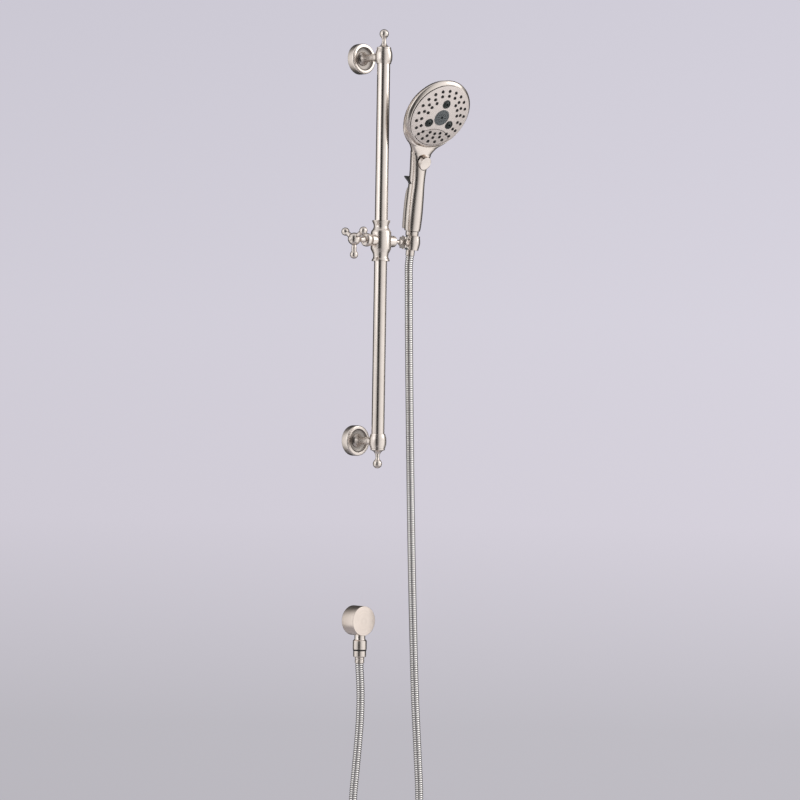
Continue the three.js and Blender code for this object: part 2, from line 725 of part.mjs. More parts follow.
function pauseParts() {
  const lever = new THREE.Group();
  lever.position.set(0, LEVER_PIVOT_BACK, LEVER_PIVOT_HEIGHT);
  handset.add(lever);
  const hub = laid(rod(3, -4, 4, SMALL), [1, 0, 0]);
  const arm = block(-2, 2, -11.5, 0, -1.2, 1.2);
  // The yoke straddles the back of the handle, hollowed to clear it; the web and stem join it to the hub.
  const leverClearance = 1;
  const handle = lofted(STATIONS.map((s) => stationRing(s, -leverClearance)));
  const yoke = laid(block(-16.4, 16.4, -8.3, 14.6, 8.4, 12), [0, -0.56, 0.83])
    .subtract(shifted(handle, 0, -LEVER_PIVOT_BACK, -LEVER_PIVOT_HEIGHT));
  const web = block(-3.8, 3.8, 4.4, 8.4, 3, 16);
  const stem = laid(block(-3.8, 3.8, 0, 10, -2, 2), [0, -1, 1]);
  piece("pause_lever", yoke.add(web).add(stem).add(hub).add(arm), darkPlastic(), lever);

  const valve = shifted(rod(9, 86, 120), 0, -VALVE_FORWARD, 0)
    .subtract(shifted(rod(6.1, 89, 121), 0, -VALVE_FORWARD, 0))
    .subtract(shifted(rod(3.8, 85, 90, SMALL), 0, -VALVE_FORWARD, 0))
    .subtract(block(-2.6, 2.6, 0, 10, 96, 112));
  piece("pause_valve_body", valve, nylon(), handset);

  const spool = turned(
    [
      [0, -9], [5.7, -9], [5.7, -2.4], [3, -2.4], [3, 2.4], [5.7, 2.4], [5.7, 5.4], [3, 5.4],
      [3, 8], [0, 8],
    ],
    SMALL,
  );
  piece("pause_spool", shifted(spool, 0, -VALVE_FORWARD, LEVER_PIVOT_HEIGHT), steel(), handset);
}
pauseParts();

const TUBE_END = [-13.4, 189.2]; // against the spray chamber's inlet

function waterTube() {
  const path = [
    [0, -0.6, 120.4], [0, -0.3, 123], [0, 3.4, 128], [0, 7.2, 134.5], [0, 7.8, 147],
    [0, 5.2, 159], [0, -0.2, 169.6], [0, -7, 179.6], [0, TUBE_END[0], TUBE_END[1]],
  ];
  piece("water_tube", wire(path, 4.2, 8, 18), nylon(), handset);
}
waterTube();

// ---- selector ----
function selectorParts() {
  const crown = lofted(
    [[0, 1], [1.4, 0.985], [1.9, 0.93], [2.2, 0.8]].map(([height, scale]) => {
      const ring = [];
      for (let i = 0; i < 24; i++) {
        const angle = (2 * Math.PI * i) / 24;
        ring.push([
          BUTTON_WIDE * scale * Math.cos(angle),
          BUTTON_LONG * scale * Math.sin(angle),
          height - 2.2,
        ]);
      }
      return ring;
    }),
  );
  const button = ovalPost(BUTTON_WIDE, BUTTON_LONG, -8, -2.1)
    .add(atButton(crown))
    .subtract(atButton(tube(7, 3, -9, -3.3, SMALL)))
    .add(atButton(rod(3, -15, -3, SMALL)));
  piece("selector_button", button, nickel(), handset);

  piece("button_spring", atButton(coilSpring(5, 0.5, -11, -3.6, 3)), steel(), handset);
  const rotor = rod(7, -22.4, -18.4, SMALL)
    .subtract(shifted(rod(1.6, -24, -17, 12), 4, 0, 0))
    .subtract(shifted(rod(1.6, -24, -17, 12), -4, 0, 0));
  piece("diverter_rotor", atButton(rotor), nylon(), handset);
}
selectorParts();

// ---- spray face ----
function dome(radius) {
  return DOME_RISE * (1 - (radius / PLATE_RADIUS) ** 2);
}

// Nozzle places as [radius, degrees]; 90 degrees is the top of the face.
function nozzlePlaces() {
  const places = [];
  for (let i = 0; i < 21; i++) places.push([49.5, 91.5 + (360 / 21) * i]);
  for (let i = 0; i < 18; i++) places.push([40.7, 90 + 20 * i]);
  for (const middle of [30, 150, 270]) {
    for (const side of [-20, 0, 20]) places.push([32.5, middle + side]);
  }
  return places.map(([radius, degrees]) => {
    const angle = THREE.MathUtils.degToRad(degrees);
    return [radius * Math.cos(angle), radius * Math.sin(angle), dome(radius)];
  });
}

const TIP_SIDES = 5;
const INSERT_RADIUS = 14.8;
const MIST_RADIUS = 7.75;
const MIST_PLACES = [90, 210, 330].map((degrees) => {
  const angle = THREE.MathUtils.degToRad(degrees);
  return [25.5 * Math.cos(angle), 25.5 * Math.sin(angle)];
});
const PANEL_CENTRE = -68; // the jet panel's edge is an arc about this point below the face centre
const PANEL_ARC = 45;

function domedDisc(radius, topDrop, bottomDrop) {
  const radii = [0, 0.4, 0.75, 1].map((share) => share * radius);
  const top = radii.map((r) => [r, dome(r) - topDrop]);
  const bottom = radii.map((r) => [r, dome(r) - bottomDrop]).reverse();
  return turned([...top, ...bottom], FINE);
}

function sprayFace() {
  const places = nozzlePlaces();
  const panelRim = 56.6;
  let plate = domedDisc(PLATE_RADIUS, 0, 2.2);
  plate = plate.subtract(tube(70, PLATE_RADIUS - 0.1, -12, 12, FINE));
  let mat = domedDisc(54.5, 2.5, 3.9);
  let holes = rod(INSERT_RADIUS + GAP, -20, 20);
  for (const [x, y] of MIST_PLACES) {
    holes = holes.add(shifted(rod(MIST_RADIUS + GAP, -20, 20, SMALL), x, y, 0));
  }
  mat = mat.subtract(holes);
  let tips = null;
  for (const [x, y, z] of places) {
    holes = holes.add(shifted(rod(2.9, -10, 10, TIP_SIDES), x, y, z));
    const tip = shifted(rod(2.2, -3.2, 1.1, TIP_SIDES), x, y, z);
    tips = tips ? tips.add(tip) : tip;
  }
  mat = mat.add(tips);
  plate = plate.subtract(holes);
  const arc = (radius) => shifted(rod(radius, -20, 20, FINE), 0, PANEL_CENTRE, 0);
  const disc = (radius) => rod(radius, -20, 20, FINE);
  const panel = plate.intersect(arc(PANEL_ARC - GAP)).intersect(disc(panelRim - GAP));
  plate = plate.subtract(arc(PANEL_ARC).intersect(disc(panelRim)));

  piece("faceplate", onFace(plate), satinPlate(), handset);
  piece("lower_jet_panel", onFace(panel), satinPlate(), handset);
  piece("nozzle_mat", onFace(mat), rubber(), handset);

  const insert = turned([
    [0, -4.6], [INSERT_RADIUS, -4.6], [INSERT_RADIUS, 5.9], [14.2, 6.3], [3, 6.7], [1.6, 6.1],
    [0, 6.1],
  ]);
  piece("center_insert", onFace(insert), greyPlastic(), handset);

  MIST_PLACES.forEach(([x, y], i) => {
    const z = dome(25.5);
    const cup = turned(
      [
        [0, -5 - z], [MIST_RADIUS, -5 - z], [MIST_RADIUS, 0.1], [7.2, 0.6], [6.1, 0.1], [5, 0.5],
        [2.6, 1.7], [1.5, 1.9], [1.2, 0.4], [0, 0.4],
      ],
      SMALL,
    );
    piece("mist_nozzle_" + (i + 1), onFace(shifted(cup, x, y, z)), greyPlastic(), handset);
  });
}
sprayFace();

function sprayChamber() {
  const manifold = turned([
    [0, -5.6], [44, -5.6], [44, -22], [41, -22], [41, -8], [3, -8], [3, -21], [0, -21],
  ]).subtract(laid(rod(3.2, 38, 46, SMALL), [0, -1, 0], [0, 0, -15]));
  piece("spray_manifold", onFace(manifold), nylon(), handset);
  piece("chamber_cover", onFace(rod(43.6, -24.3, -22.3)), nylon(), handset);

  let wheel = tube(8, 3.4, -18.5, -11.5, SMALL).add(tube(38, 36, -16.5, -13.5, MEDIUM));
  for (let i = 0; i < 8; i++) {
    const blade = toGeometry(block(6, 37, -0.8, 0.8, -18, -12));
    wheel = wheel.add(toSolid(blade.rotateZ((Math.PI * i) / 4)));
  }
  piece("turbine", onFace(wheel), nylon(), handset);
}
sprayChamber();

// ---- hose, from the wall ferrule round its hanging loop to the hand shower's ferrule ----
function hose() {
  const low = new THREE.Vector2(ELBOW_X, -OUTLET_OUT);
  const high = new THREE.Vector2(HOLDER_X, -62.6);
  const across = high.clone().sub(low);
  const span = across.length();
  across.normalize();
  const handleTurn = new THREE.Euler(HOLDER_TILT, 0, 0);
  // Points as [distance from the elbow towards the holder, height].
  const route = [
    [0, -1060.4], [0, -1067], [1, -1082], [2.6, -1110], [2.6, -1150], [0.2, -1195],
    [-4, -1250], [-7.6, -1300], [-6, -1342], [4, -1372], [24, -1393], [51.5, -1400],
    [79, -1393], [99, -1372], [108, -1342], [110, -1300], [105.6, -1215], [100, -1125], [92.5, -950], [86.5, -773], [81.5, -597],
    [78, -450], [span - 1.2, -400],
  ];
  const points = route.map(([q, z]) => [low.x + across.x * q, low.y + across.y * q, z]);
  for (const below of [40, 30, 22.9]) {
    const p = new THREE.Vector3(0, 0, -below).applyEuler(handleTurn);
    points.push([HOLDER_X, -BAR_OUT + p.y, SLIDER_Z + p.z]);
  }
  piece("hose", wire(points, HOSE_RADIUS, 10, 54), steel(), root);
}
hose();

export default root;
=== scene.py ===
"""Hand shower on a wall slide bar, with its hose and supply elbow: the looks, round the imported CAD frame.

Blender works in metres in the CAD frame: +Z up, the wall is the plane y = 0, -Y is the room.
Outlines below are in millimetres: [radius, distance along the piece's own axis].
"""
import json
import math

import bmesh
import bpy
from mathutils import Matrix, Quaternion, Vector


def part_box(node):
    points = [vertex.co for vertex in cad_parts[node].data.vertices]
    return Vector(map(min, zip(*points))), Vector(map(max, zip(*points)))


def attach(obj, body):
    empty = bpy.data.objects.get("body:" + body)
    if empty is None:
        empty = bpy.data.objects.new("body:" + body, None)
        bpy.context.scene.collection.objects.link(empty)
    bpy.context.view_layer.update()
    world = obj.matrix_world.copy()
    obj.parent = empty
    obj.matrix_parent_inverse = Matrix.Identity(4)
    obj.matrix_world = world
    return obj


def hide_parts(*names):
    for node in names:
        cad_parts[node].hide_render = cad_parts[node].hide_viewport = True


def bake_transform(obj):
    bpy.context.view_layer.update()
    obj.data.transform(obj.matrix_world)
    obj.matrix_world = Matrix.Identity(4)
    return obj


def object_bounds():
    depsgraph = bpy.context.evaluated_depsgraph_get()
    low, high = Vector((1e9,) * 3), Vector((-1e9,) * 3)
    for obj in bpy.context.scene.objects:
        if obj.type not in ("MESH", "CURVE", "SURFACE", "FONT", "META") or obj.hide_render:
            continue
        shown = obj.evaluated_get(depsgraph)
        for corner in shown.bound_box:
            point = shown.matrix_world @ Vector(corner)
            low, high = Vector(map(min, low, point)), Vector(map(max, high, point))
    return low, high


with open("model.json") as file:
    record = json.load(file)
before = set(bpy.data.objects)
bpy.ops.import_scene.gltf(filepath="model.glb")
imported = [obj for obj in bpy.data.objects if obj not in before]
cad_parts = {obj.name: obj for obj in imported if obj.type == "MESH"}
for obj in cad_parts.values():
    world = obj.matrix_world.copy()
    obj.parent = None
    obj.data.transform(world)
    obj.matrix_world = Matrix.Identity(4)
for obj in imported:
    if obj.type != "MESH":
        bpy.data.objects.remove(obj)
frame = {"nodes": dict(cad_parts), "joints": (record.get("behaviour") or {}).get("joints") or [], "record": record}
cad_low, cad_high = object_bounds()

MM = 0.001
RECORD = frame["record"]
JOINTS = {joint["name"]: joint for joint in frame["joints"]}
BODY_OF = {node: body for body, nodes in RECORD["behaviour"]["bodies"].items() for node in nodes}
SLOT_OF = {part["node"]: part["material_slot"] for part in RECORD["subparts"]}

# ---- driving dimensions, in millimetres unless said otherwise ----
FINE_SIDES = 96
SMALL_SIDES = 40
CREASE_DEGREES = 32  # edges sharper than this stay crisp
BARREL_HALF = 12.75
BAR_RADIUS = 11.25
BAR_BORE = 9.75
HUB_OUT = 62
HUB_RADIUS = 11
OUTLET_OUT = 19.7
HOSE_DIAMETER = 14.5
HOSE_PITCH = 3.83
HOSE_GROOVE = 1.25
HEAD_TILT = math.radians(25.3)
HEAD_FORWARD = 46.3
HEAD_HEIGHT = 224.8
PLATE_RADIUS = 59
DOME_RISE = 6
INSERT_RADIUS = 14.8
MIST_RADIUS = 7.75
BUTTON_FORWARD = 19.4
BUTTON_HEIGHT = 140
BUTTON_WIDE = 10.8
BUTTON_LONG = 12.5
FILLET_STEPS = 4
FLAT_TURN = 25  # degrees: corners that turn by less than this aren't rounded off
TINY = 1e-6

# ---- the viewing angle, in metres and degrees ----
VIEW_TARGET = Vector((0.0277, -0.0904, -0.5976))
VIEW_AHEAD = Vector((0.6756, 0.7373, 0))
VIEW_RIGHT = Vector((VIEW_AHEAD.y, -VIEW_AHEAD.x, 0))
VIEW_DISTANCE = 4.7
VIEW_LENS = 121.5
VIEW_ROLL = 0.907


# ---- places ----
def frame_of(x, y, z, origin):
    """The placing matrix with these unit axes and origin."""
    return Matrix.Translation(origin) @ Matrix((x, y, z)).transposed().to_4x4()


def shift(x, y, z):
    """A move in millimetres."""
    return Matrix.Translation(Vector((x, y, z)) * MM)


def along(origin, towards):
    """The placing matrix whose +Z axis runs towards a direction."""
    turn = Vector((0, 0, 1)).rotation_difference(Vector(towards).normalized())
    return Matrix.Translation(origin) @ turn.to_matrix().to_4x4()


WALL_OUT = Vector((0, -1, 0))
UP = Vector((0, 0, 1))
DOWN = Vector((0, 0, -1))
LEFT = Vector((-1, 0, 0))
RIGHT = Vector((1, 0, 0))

SLIDER = Vector(JOINTS["clamp_turn"]["pos_m"])
SLIDER.x = 0
HOLDER = Vector(JOINTS["handset_turn"]["pos_m"])
HANDLE_UP = Vector(JOINTS["handset_turn"]["axis"]).normalized()
SPRAY = Vector(JOINTS["turbine_spin"]["axis"]).normalized()
HANDSET_X = HANDLE_UP.cross(SPRAY).normalized()
HANDSET = frame_of(HANDSET_X, HANDLE_UP.cross(HANDSET_X), HANDLE_UP, HOLDER)
CUP = frame_of(RIGHT, HANDLE_UP.cross(RIGHT), HANDLE_UP, HOLDER)
FACE_UP = Vector((0, -math.sin(HEAD_TILT), math.cos(HEAD_TILT)))
FACE_OUT = Vector((0, -math.cos(HEAD_TILT), -math.sin(HEAD_TILT)))
FACE_CENTRE = Vector((0, -HEAD_FORWARD, HEAD_HEIGHT))


def on_head(middle):
    """The placing matrix that faces out of the head's face, from a middle in millimetres."""
    return HANDSET @ frame_of(FACE_UP.cross(FACE_OUT), FACE_UP, FACE_OUT, middle * MM)


FACE = on_head(FACE_CENTRE)
BUTTON = on_head(Vector((0, -BUTTON_FORWARD, BUTTON_HEIGHT)))
ELBOW = Vector(next(m["pos_m"] for m in RECORD["mounts"] if m["name"] == "supply_elbow_seat"))
ELBOW.x = sum(corner.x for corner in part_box("elbow_cover")) / 2
OUTLET = along(ELBOW + WALL_OUT * OUTLET_OUT * MM, UP)
BRACKETS = [
    ("upper", 1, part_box("upper_bracket")),
    ("lower", -1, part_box("lower_bracket")),
]


def new_object(name, data, place):
    made = bpy.data.objects.new(name, data)
    bpy.context.scene.collection.objects.link(made)
    made.matrix_world = place
    return made


# ---- the camera ----
def make_camera():
    """A level view from the left of the bar, with the camera rolled by under a degree."""
    back = -VIEW_AHEAD.normalized()
    data = bpy.data.cameras.new("camera")
    data.lens = VIEW_LENS
    data.clip_end = 50
    camera = new_object("camera", data, Matrix.Translation(VIEW_TARGET + back * VIEW_DISTANCE))
    roll = Quaternion((0, 0, 1), math.radians(VIEW_ROLL))
    camera.rotation_mode = "QUATERNION"
    camera.rotation_quaternion = back.to_track_quat("Z", "Y") @ roll
    bpy.context.scene.camera = camera


make_camera()


# ---- outlines and rings ----
def angles(count):
    """Even angles round a circle."""
    return [2 * math.pi * k / count for k in range(count)]


def oval(wide, long, height, sides, offset=0.0):
    return [(wide * math.cos(a), offset + long * math.sin(a), height) for a in angles(sides)]


def spline(a, b, c, d, t):
    """The place a share t of the way from b to c, on the smooth curve through all four."""
    bend = 2 * b + (c - a) * t + (2 * a - 5 * b + 4 * c - d) * t**2
    return (bend + (3 * b - a - 3 * c + d) * t**3) / 2


def stretches(points):
    """Each stretch from a point to the next, with the neighbour before it and the one after it."""
    last = len(points) - 1
    return [(points[max(i - 1, 0)], points[i], points[i + 1], points[min(i + 2, last)]) for i in range(last)]


def curved(points, steps=6):
    """A smooth line through the points."""
    made = []
    for stretch in stretches([Vector(point) for point in points]):
        made += [tuple(spline(*stretch, k / steps)) for k in range(steps)]
    return made + [tuple(points[-1])]


def ball_outline(radius, middle, start, end):
    """A ball about a place on the axis, from one angle to another in degrees, 0 being its low end."""
    made = []
    for degrees in range(start, end, 6):
        angle = math.radians(degrees)
        reach = radius * math.sin(angle) if 0 < degrees < 180 else 0
        made.append((reach, middle - radius * math.cos(angle)))
    return made


# ---- mesh helpers ----
def make_piece(name, points, faces, place):
    """A closed mesh from points in millimetres, its faces turned outwards."""
    mesh = bpy.data.meshes.new(name)
    mesh.from_pydata([(x * MM, y * MM, z * MM) for x, y, z in points], [], faces)
    shape = bmesh.new()
    shape.from_mesh(mesh)
    bmesh.ops.recalc_face_normals(shape, faces=shape.faces)
    shape.to_mesh(mesh)
    shape.free()
    return new_object(name, mesh, place)


def rounded(outline, radius, closed):
    """The outline with its sharp corners rounded off."""
    if radius == 0:
        return list(outline)
    made = []
    count = len(outline)
    for i, corner in enumerate(outline):
        corner = Vector(corner)
        if not closed and i in (0, count - 1):
            made.append(tuple(corner))
            continue
        before = Vector(outline[i - 1]) - corner
        after = Vector(outline[(i + 1) % count]) - corner
        if before.length < TINY or after.length < TINY:
            continue
        turn = math.pi - before.angle(after)
        if turn < math.radians(FLAT_TURN):
            made.append(tuple(corner))
            continue
        cut = min(radius, 0.45 * before.length, 0.45 * after.length)
        start = corner + before.normalized() * cut
        end = corner + after.normalized() * cut
        for k in range(FILLET_STEPS + 1):
            t = k / FILLET_STEPS
            made.append(tuple(start * (1 - t) ** 2 + corner * 2 * t * (1 - t) + end * t**2))
    return made


def turned(name, outline, place, sides=FINE_SIDES, fillet=0.35, bored=False, wave=None):
    """A turned piece. The outline starts and ends on the axis, or closes on itself when bored.

    wave(angle, radius) scales each point outwards, for a lobed rim."""
    outline = rounded(outline, fillet, bored)
    points = []
    rings = []
    for radius, height in outline:
        if radius < TINY:
            rings.append([len(points)] * sides)
            points.append((0, 0, height))
            continue
        rings.append(list(range(len(points), len(points) + sides)))
        for angle in angles(sides):
            reach = radius * (wave(angle, radius) if wave else 1)
            points.append((reach * math.cos(angle), reach * math.sin(angle), height))
    pairs = list(zip(rings, rings[1:]))
    if bored:
        pairs.append((rings[-1], rings[0]))
    faces = []
    for low, high in pairs:
        for k in range(sides):
            n = (k + 1) % sides
            corners = [low[k], low[n], high[n], high[k]]
            face = [c for i, c in enumerate(corners) if c != corners[i - 1]]
            if len(face) > 2:
                faces.append(face)
    return make_piece(name, points, faces, place)


def skinned(name, rings, place):
    """A skin over rings that all have the same count of points, with flat ends."""
    count = len(rings[0])
    points = [p for ring in rings for p in ring]
    faces = []
    for i in range(len(rings) - 1):
        for k in range(count):
            n = (k + 1) % count
            low = i * count
            high = low + count
            faces.append([low + k, low + n, high + n, high + k])
    last = (len(rings) - 1) * count
    faces.append(list(range(count))[::-1])
    faces.append(list(range(last, last + count)))
    return make_piece(name, points, faces, place)


def rod(radius, low, high, place, sides=SMALL_SIDES):
    return turned("tool", [(0, low), (radius, low), (radius, high), (0, high)], place, sides, 0)


def block(size, middle, place, bevel=0.0):
    """A block with bevelled edges. Size and middle are in millimetres."""
    shape = bmesh.new()
    bmesh.ops.create_cube(shape, size=1)
    bmesh.ops.scale(shape, vec=size, verts=shape.verts)
    if bevel:
        bmesh.ops.bevel(shape, geom=shape.edges[:], offset=bevel, segments=4, affect="EDGES", profile=0.5)
    points = [tuple(v.co + Vector(middle)) for v in shape.verts]
    faces = [[v.index for v in face.verts] for face in shape.faces]
    shape.free()
    return make_piece("block", points, faces, place)


def combine(piece, tool, operation):
    """Joins, cuts or intersects the piece with a tool, which is used up."""
    bpy.context.view_layer.update()
    modifier = piece.modifiers.new("combine", "BOOLEAN")
    modifier.operation = operation
    modifier.solver = "MANIFOLD"
    modifier.object = tool
    graph = bpy.context.evaluated_depsgraph_get()
    mesh = bpy.data.meshes.new_from_object(piece.evaluated_get(graph))
    piece.modifiers.clear()
    piece.data = mesh
    bpy.data.objects.remove(tool)
    return piece


def cut(piece, *tools):
    for tool in tools:
        combine(piece, tool, "DIFFERENCE")


def add(piece, *tools):
    for tool in tools:
        combine(piece, tool, "UNION")


def gather(name, pieces, place):
    """One piece from several separate shells."""
    shape = bmesh.new()
    back = place.inverted()
    bpy.context.view_layer.update()
    for piece in pieces:
        copy = piece.data.copy()
        copy.transform(back @ piece.matrix_world)
        shape.from_mesh(copy)
        bpy.data.meshes.remove(copy)
        bpy.data.objects.remove(piece)
    mesh = bpy.data.meshes.new(name)
    shape.to_mesh(mesh)
    shape.free()
    return new_object(name, mesh, place)


# ---- materials ----
class Graph:
    """A shader node tree with short ways to add to it."""

    def __init__(self, tree):
        self.tree = tree

    def feed(self, socket, value):
        """Wires an input to an output, or sets it to a plain value."""
        if hasattr(value, "is_linked"):
            self.tree.links.new(value, socket)
        else:
            socket.default_value = value

    def node(self, kind, inputs=None, **settings):
        """A new node. Its inputs are given by name or by number."""
        made = self.tree.nodes.new("ShaderNode" + kind)
        for key, value in settings.items():
            setattr(made, key, value)
        for key, value in (inputs or {}).items():
            self.feed(made.inputs[key], value)
        return made

    def calculate(self, kind, operation, *values):
        """The outputs of a maths node."""
        return self.node(kind, dict(enumerate(values)), operation=operation).outputs

    def scaled(self, source, factor):
        return self.node("VectorMath", {0: source, "Scale": factor}, operation="SCALE").outputs["Vector"]

    def split(self, source):
        return self.node("SeparateXYZ", {0: source}).outputs

    def rescale(self, source, old, new=(0, 1)):
        """Maps the span old to the span new."""
        spans = {"From Min": old[0], "From Max": old[1], "To Min": new[0], "To Max": new[1]}
        return self.node("MapRange", {**spans, "Value": source}).outputs["Result"]

    def ramp(self, source, stops, low=0, high=1):
        """Maps a pattern to colours. Stops are (position, colour), between low and high."""
        if (low, high) != (0, 1):
            source = self.rescale(source, (low, high))
        made = self.node("ValToRGB", {"Fac": source})
        line = made.color_ramp
        while len(line.elements) < len(stops):
            line.elements.new(0.5)
        for element, (position, colour) in zip(line.elements, stops):
            element.position = (position - low) / (high - low)
            element.color = (*colour, 1)
        return made.outputs["Color"]

    def mix(self, factor, a, b, blend="MIX"):
        inputs = {"Factor": factor, "A": a, "B": b}
        return self.node("Mix", inputs, data_type="RGBA", blend_type=blend).outputs["Result"]


class Look(Graph):
    """A material whose Principled shader is fed by a few pattern nodes."""

    def __init__(self, name, metallic, roughness):
        self.material = bpy.data.materials.new(name)
        self.material.use_nodes = True
        super().__init__(self.material.node_tree)
        self.shader = self.tree.nodes["Principled BSDF"]
        self.shader.inputs["Metallic"].default_value = metallic
        self.shader.inputs["Roughness"].default_value = roughness

    def place(self):
        return self.node("TexCoord").outputs["Object"]

    def turned_place(self, pitch, streak):
        """Coordinates in which noise makes fine rings round the piece's own Z axis."""
        place = self.place()
        flat = self.calculate("VectorMath", "MULTIPLY", place, (1, 1, 0))["Vector"]
        radius = self.calculate("VectorMath", "LENGTH", flat)["Value"]
        joined = self.node("CombineXYZ", {"X": radius, "Y": self.split(place)["Z"]})
        fine = self.scaled(joined.outputs["Vector"], 1 / (pitch * MM))
        drift = self.scaled(flat, 1 / (streak * MM))
        return self.calculate("VectorMath", "ADD", fine, drift)["Vector"]

    def straight_place(self, pitch, streak, axis):
        """Coordinates in which noise makes fine lines along one of the piece's own axes."""
        scale = [1 / (pitch * MM)] * 3
        scale[axis] = 1 / (streak * MM)
        return self.calculate("VectorMath", "MULTIPLY", self.place(), scale)["Vector"]

    def even_place(self, size):
        return self.scaled(self.place(), 1 / (size * MM))

    def noise(self, place, detail, roughness=0.55):
        inputs = {"Scale": 1, "Detail": detail, "Roughness": roughness, "Vector": place}
        return self.node("TexNoise", inputs).outputs["Fac"]

    def speckle(self, place):
        return self.node("TexVoronoi", {"Scale": 1, "Vector": place}, feature="F1").outputs["Distance"]

    def spread(self, source, low, high):
        """Spreads the middle of a pattern from low to high."""
        return self.rescale(source, (0.3, 0.7), (low, high))

    def colour(self, source):
        self.feed(self.shader.inputs["Base Color"], source)

    def roughness(self, source):
        self.feed(self.shader.inputs["Roughness"], source)

    def bump(self, source, height):
        """Height is in millimetres."""
        made = self.node("Bump", {"Distance": height * MM, "Strength": 0.5, "Height": source})
        self.feed(self.shader.inputs["Normal"], made.outputs["Normal"])


def tint(colour, share):
    return tuple(min(1.0, c * share) for c in colour)


NICKEL = (0.81, 0.738, 0.685)
PLATE = (0.88, 0.80, 0.765)


def painted(look, fine, tones, cloud, shades, polish, relief, worn=None):
    """Colours a look by a fine pattern under a cloudy one. The worn pattern sets the polish."""
    toned = look.ramp(fine, tones)
    shaded = look.ramp(cloud, shades)
    look.colour(look.mix(1.0, toned, shaded, "MULTIPLY"))
    look.roughness(look.spread(fine if worn is None else worn, *polish))
    look.bump(fine, relief)
    return look.material


def brushed(name, base, roughness, pitch, streak, lines="turned", contrast=0.06, depth=0.012):
    """Satin metal with fine brush lines, soft cloudy tone and a slightly uneven polish."""
    look = Look(name, 1.0, roughness)
    if lines == "turned":
        place = look.turned_place(pitch, streak)
    else:
        place = look.straight_place(pitch, streak, lines)
    grain = look.noise(place, detail=4.0)
    cloud = look.noise(look.even_place(24), detail=2.0)
    tones = [(0.3, tint(base, 1 - contrast)), (0.7, tint(base, 1 + contrast))]
    shades = [(0.35, (0.955, 0.95, 0.945)), (0.65, (1, 1, 1))]
    return painted(look, grain, tones, cloud, shades, (roughness - 0.035, roughness + 0.045), depth)


def moulded(name, base, roughness, grain_size, relief):
    """Moulded plastic or rubber: a fine even grain with slight flow marks."""
    look = Look(name, 0.0, roughness)
    grain = look.noise(look.even_place(grain_size), detail=4.0, roughness=0.65)
    flow = look.noise(look.even_place(14), detail=2.0)
    tones = [(0.3, tint(base, 0.86)), (0.7, tint(base, 1.12))]
    shades = [(0.3, (0.93, 0.93, 0.94)), (0.7, (1, 1, 1))]
    return painted(look, grain, tones, flow, shades, (roughness - 0.06, roughness + 0.08), relief)


def plated_plastic(name, base, roughness):
    """The spray face: satin plating over plastic, with a fine pearly speckle."""
    look = Look(name, 0.4, roughness)
    pearl = look.speckle(look.even_place(0.35))
    cloud = look.noise(look.even_place(18), detail=2.0)
    tones = [(0.2, tint(base, 1.05)), (0.8, tint(base, 0.93))]
    shades = [(0.35, (0.96, 0.955, 0.95)), (0.65, (1, 1, 1))]
    return painted(look, pearl, tones, cloud, shades, (roughness - 0.04, roughness + 0.06), 0.01)


def cast_brass():
    """Cast brass: a sandy skin with duller, darker patches."""
    look = Look("cast_brass", 1.0, 0.45)
    sand = look.noise(look.even_place(0.6), detail=5.0, roughness=0.7)
    stain = look.noise(look.even_place(9), detail=3.0)
    tones = [(0.3, (0.56, 0.42, 0.19)), (0.7, (0.72, 0.56, 0.28))]
    shades = [(0.35, (0.78, 0.72, 0.62)), (0.6, (1, 1, 1))]
    return painted(look, sand, tones, stain, shades, (0.36, 0.55), 0.05, worn=stain)


METALS = {  # base colour, roughness, pitch, streak, lines, contrast, depth
    "brushed_nickel": (NICKEL, 0.25, 0.45, 9),
    "bar_nickel": (NICKEL, 0.2, 0.4, 14, "turned", 0.03, 0.002),
    "handle_nickel": (NICKEL, 0.24, 0.5, 26, 2, 0.03, 0.002),
    "drum_nickel": ((0.82, 0.725, 0.66), 0.3, 0.8, 18, "turned", 0.1, 0.02),
    # a much darker copy of the nickel: painted shade for the flange's dish and the swivel disc's faces
    "painted_shade_nickel": (tint(NICKEL, 0.4), 0.36, 0.5, 9),
    # a slightly darker copy of the nickel: painted shade on the bracket arm near the wall
    "arm_painted_shade_nickel": (tint(NICKEL, 0.9), 0.28, 0.5, 9),
    "hose_steel": ((0.92, 0.9, 0.885), 0.15, 0.3, 8, "turned", 0.03, 0.004),
    # a dark steel for the faces at each groove's bottom: painted shade in the hose's grooves
    "hose_groove_painted_shade": ((0.17, 0.165, 0.16), 0.45, 0.3, 8, "turned", 0.1),
    "steel": ((0.6, 0.6, 0.61), 0.33, 0.5, 12, 0),
}
PLASTICS = {  # base colour, roughness, grain size, relief
    "grey_plastic": ((0.17, 0.187, 0.196), 0.45, 0.5, 0.015),
    "mist_plastic": ((0.035, 0.043, 0.041), 0.3, 0.5, 0.015),
    "dark_plastic": ((0.085, 0.09, 0.094), 0.4, 0.4, 0.02),
    "nylon": ((0.78, 0.755, 0.69), 0.55, 0.7, 0.02),
    "rubber": ((0.03, 0.029, 0.029), 0.55, 0.35, 0.02),
}
MATERIALS = {
    "brass": cast_brass(),
    "face_plastic": plated_plastic("face_plastic", PLATE, 0.42),
    "panel_plastic": plated_plastic("panel_plastic", tint(PLATE, 0.87), 0.46),
}
MATERIALS.update({name: brushed(name, *row) for name, row in METALS.items()})
MATERIALS.update({name: moulded(name, *row) for name, row in PLASTICS.items()})


def finish(piece, node, material="brushed_nickel", blended=False, sharp=CREASE_DEGREES):
    """Shades a piece, gives it its material and puts it in the CAD node's place."""
    shape = bmesh.new()
    shape.from_mesh(piece.data)
    for face in shape.faces:
        face.smooth = True
    for edge in shape.edges:
        if len(edge.link_faces) == 2:
            edge.smooth = edge.calc_face_angle() < math.radians(sharp)
    shape.to_mesh(piece.data)
    shape.free()
    piece.data.materials.clear()
    piece.data.materials.append(MATERIALS[material])
    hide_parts(node)
    if not blended:
        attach(piece, BODY_OF[node])


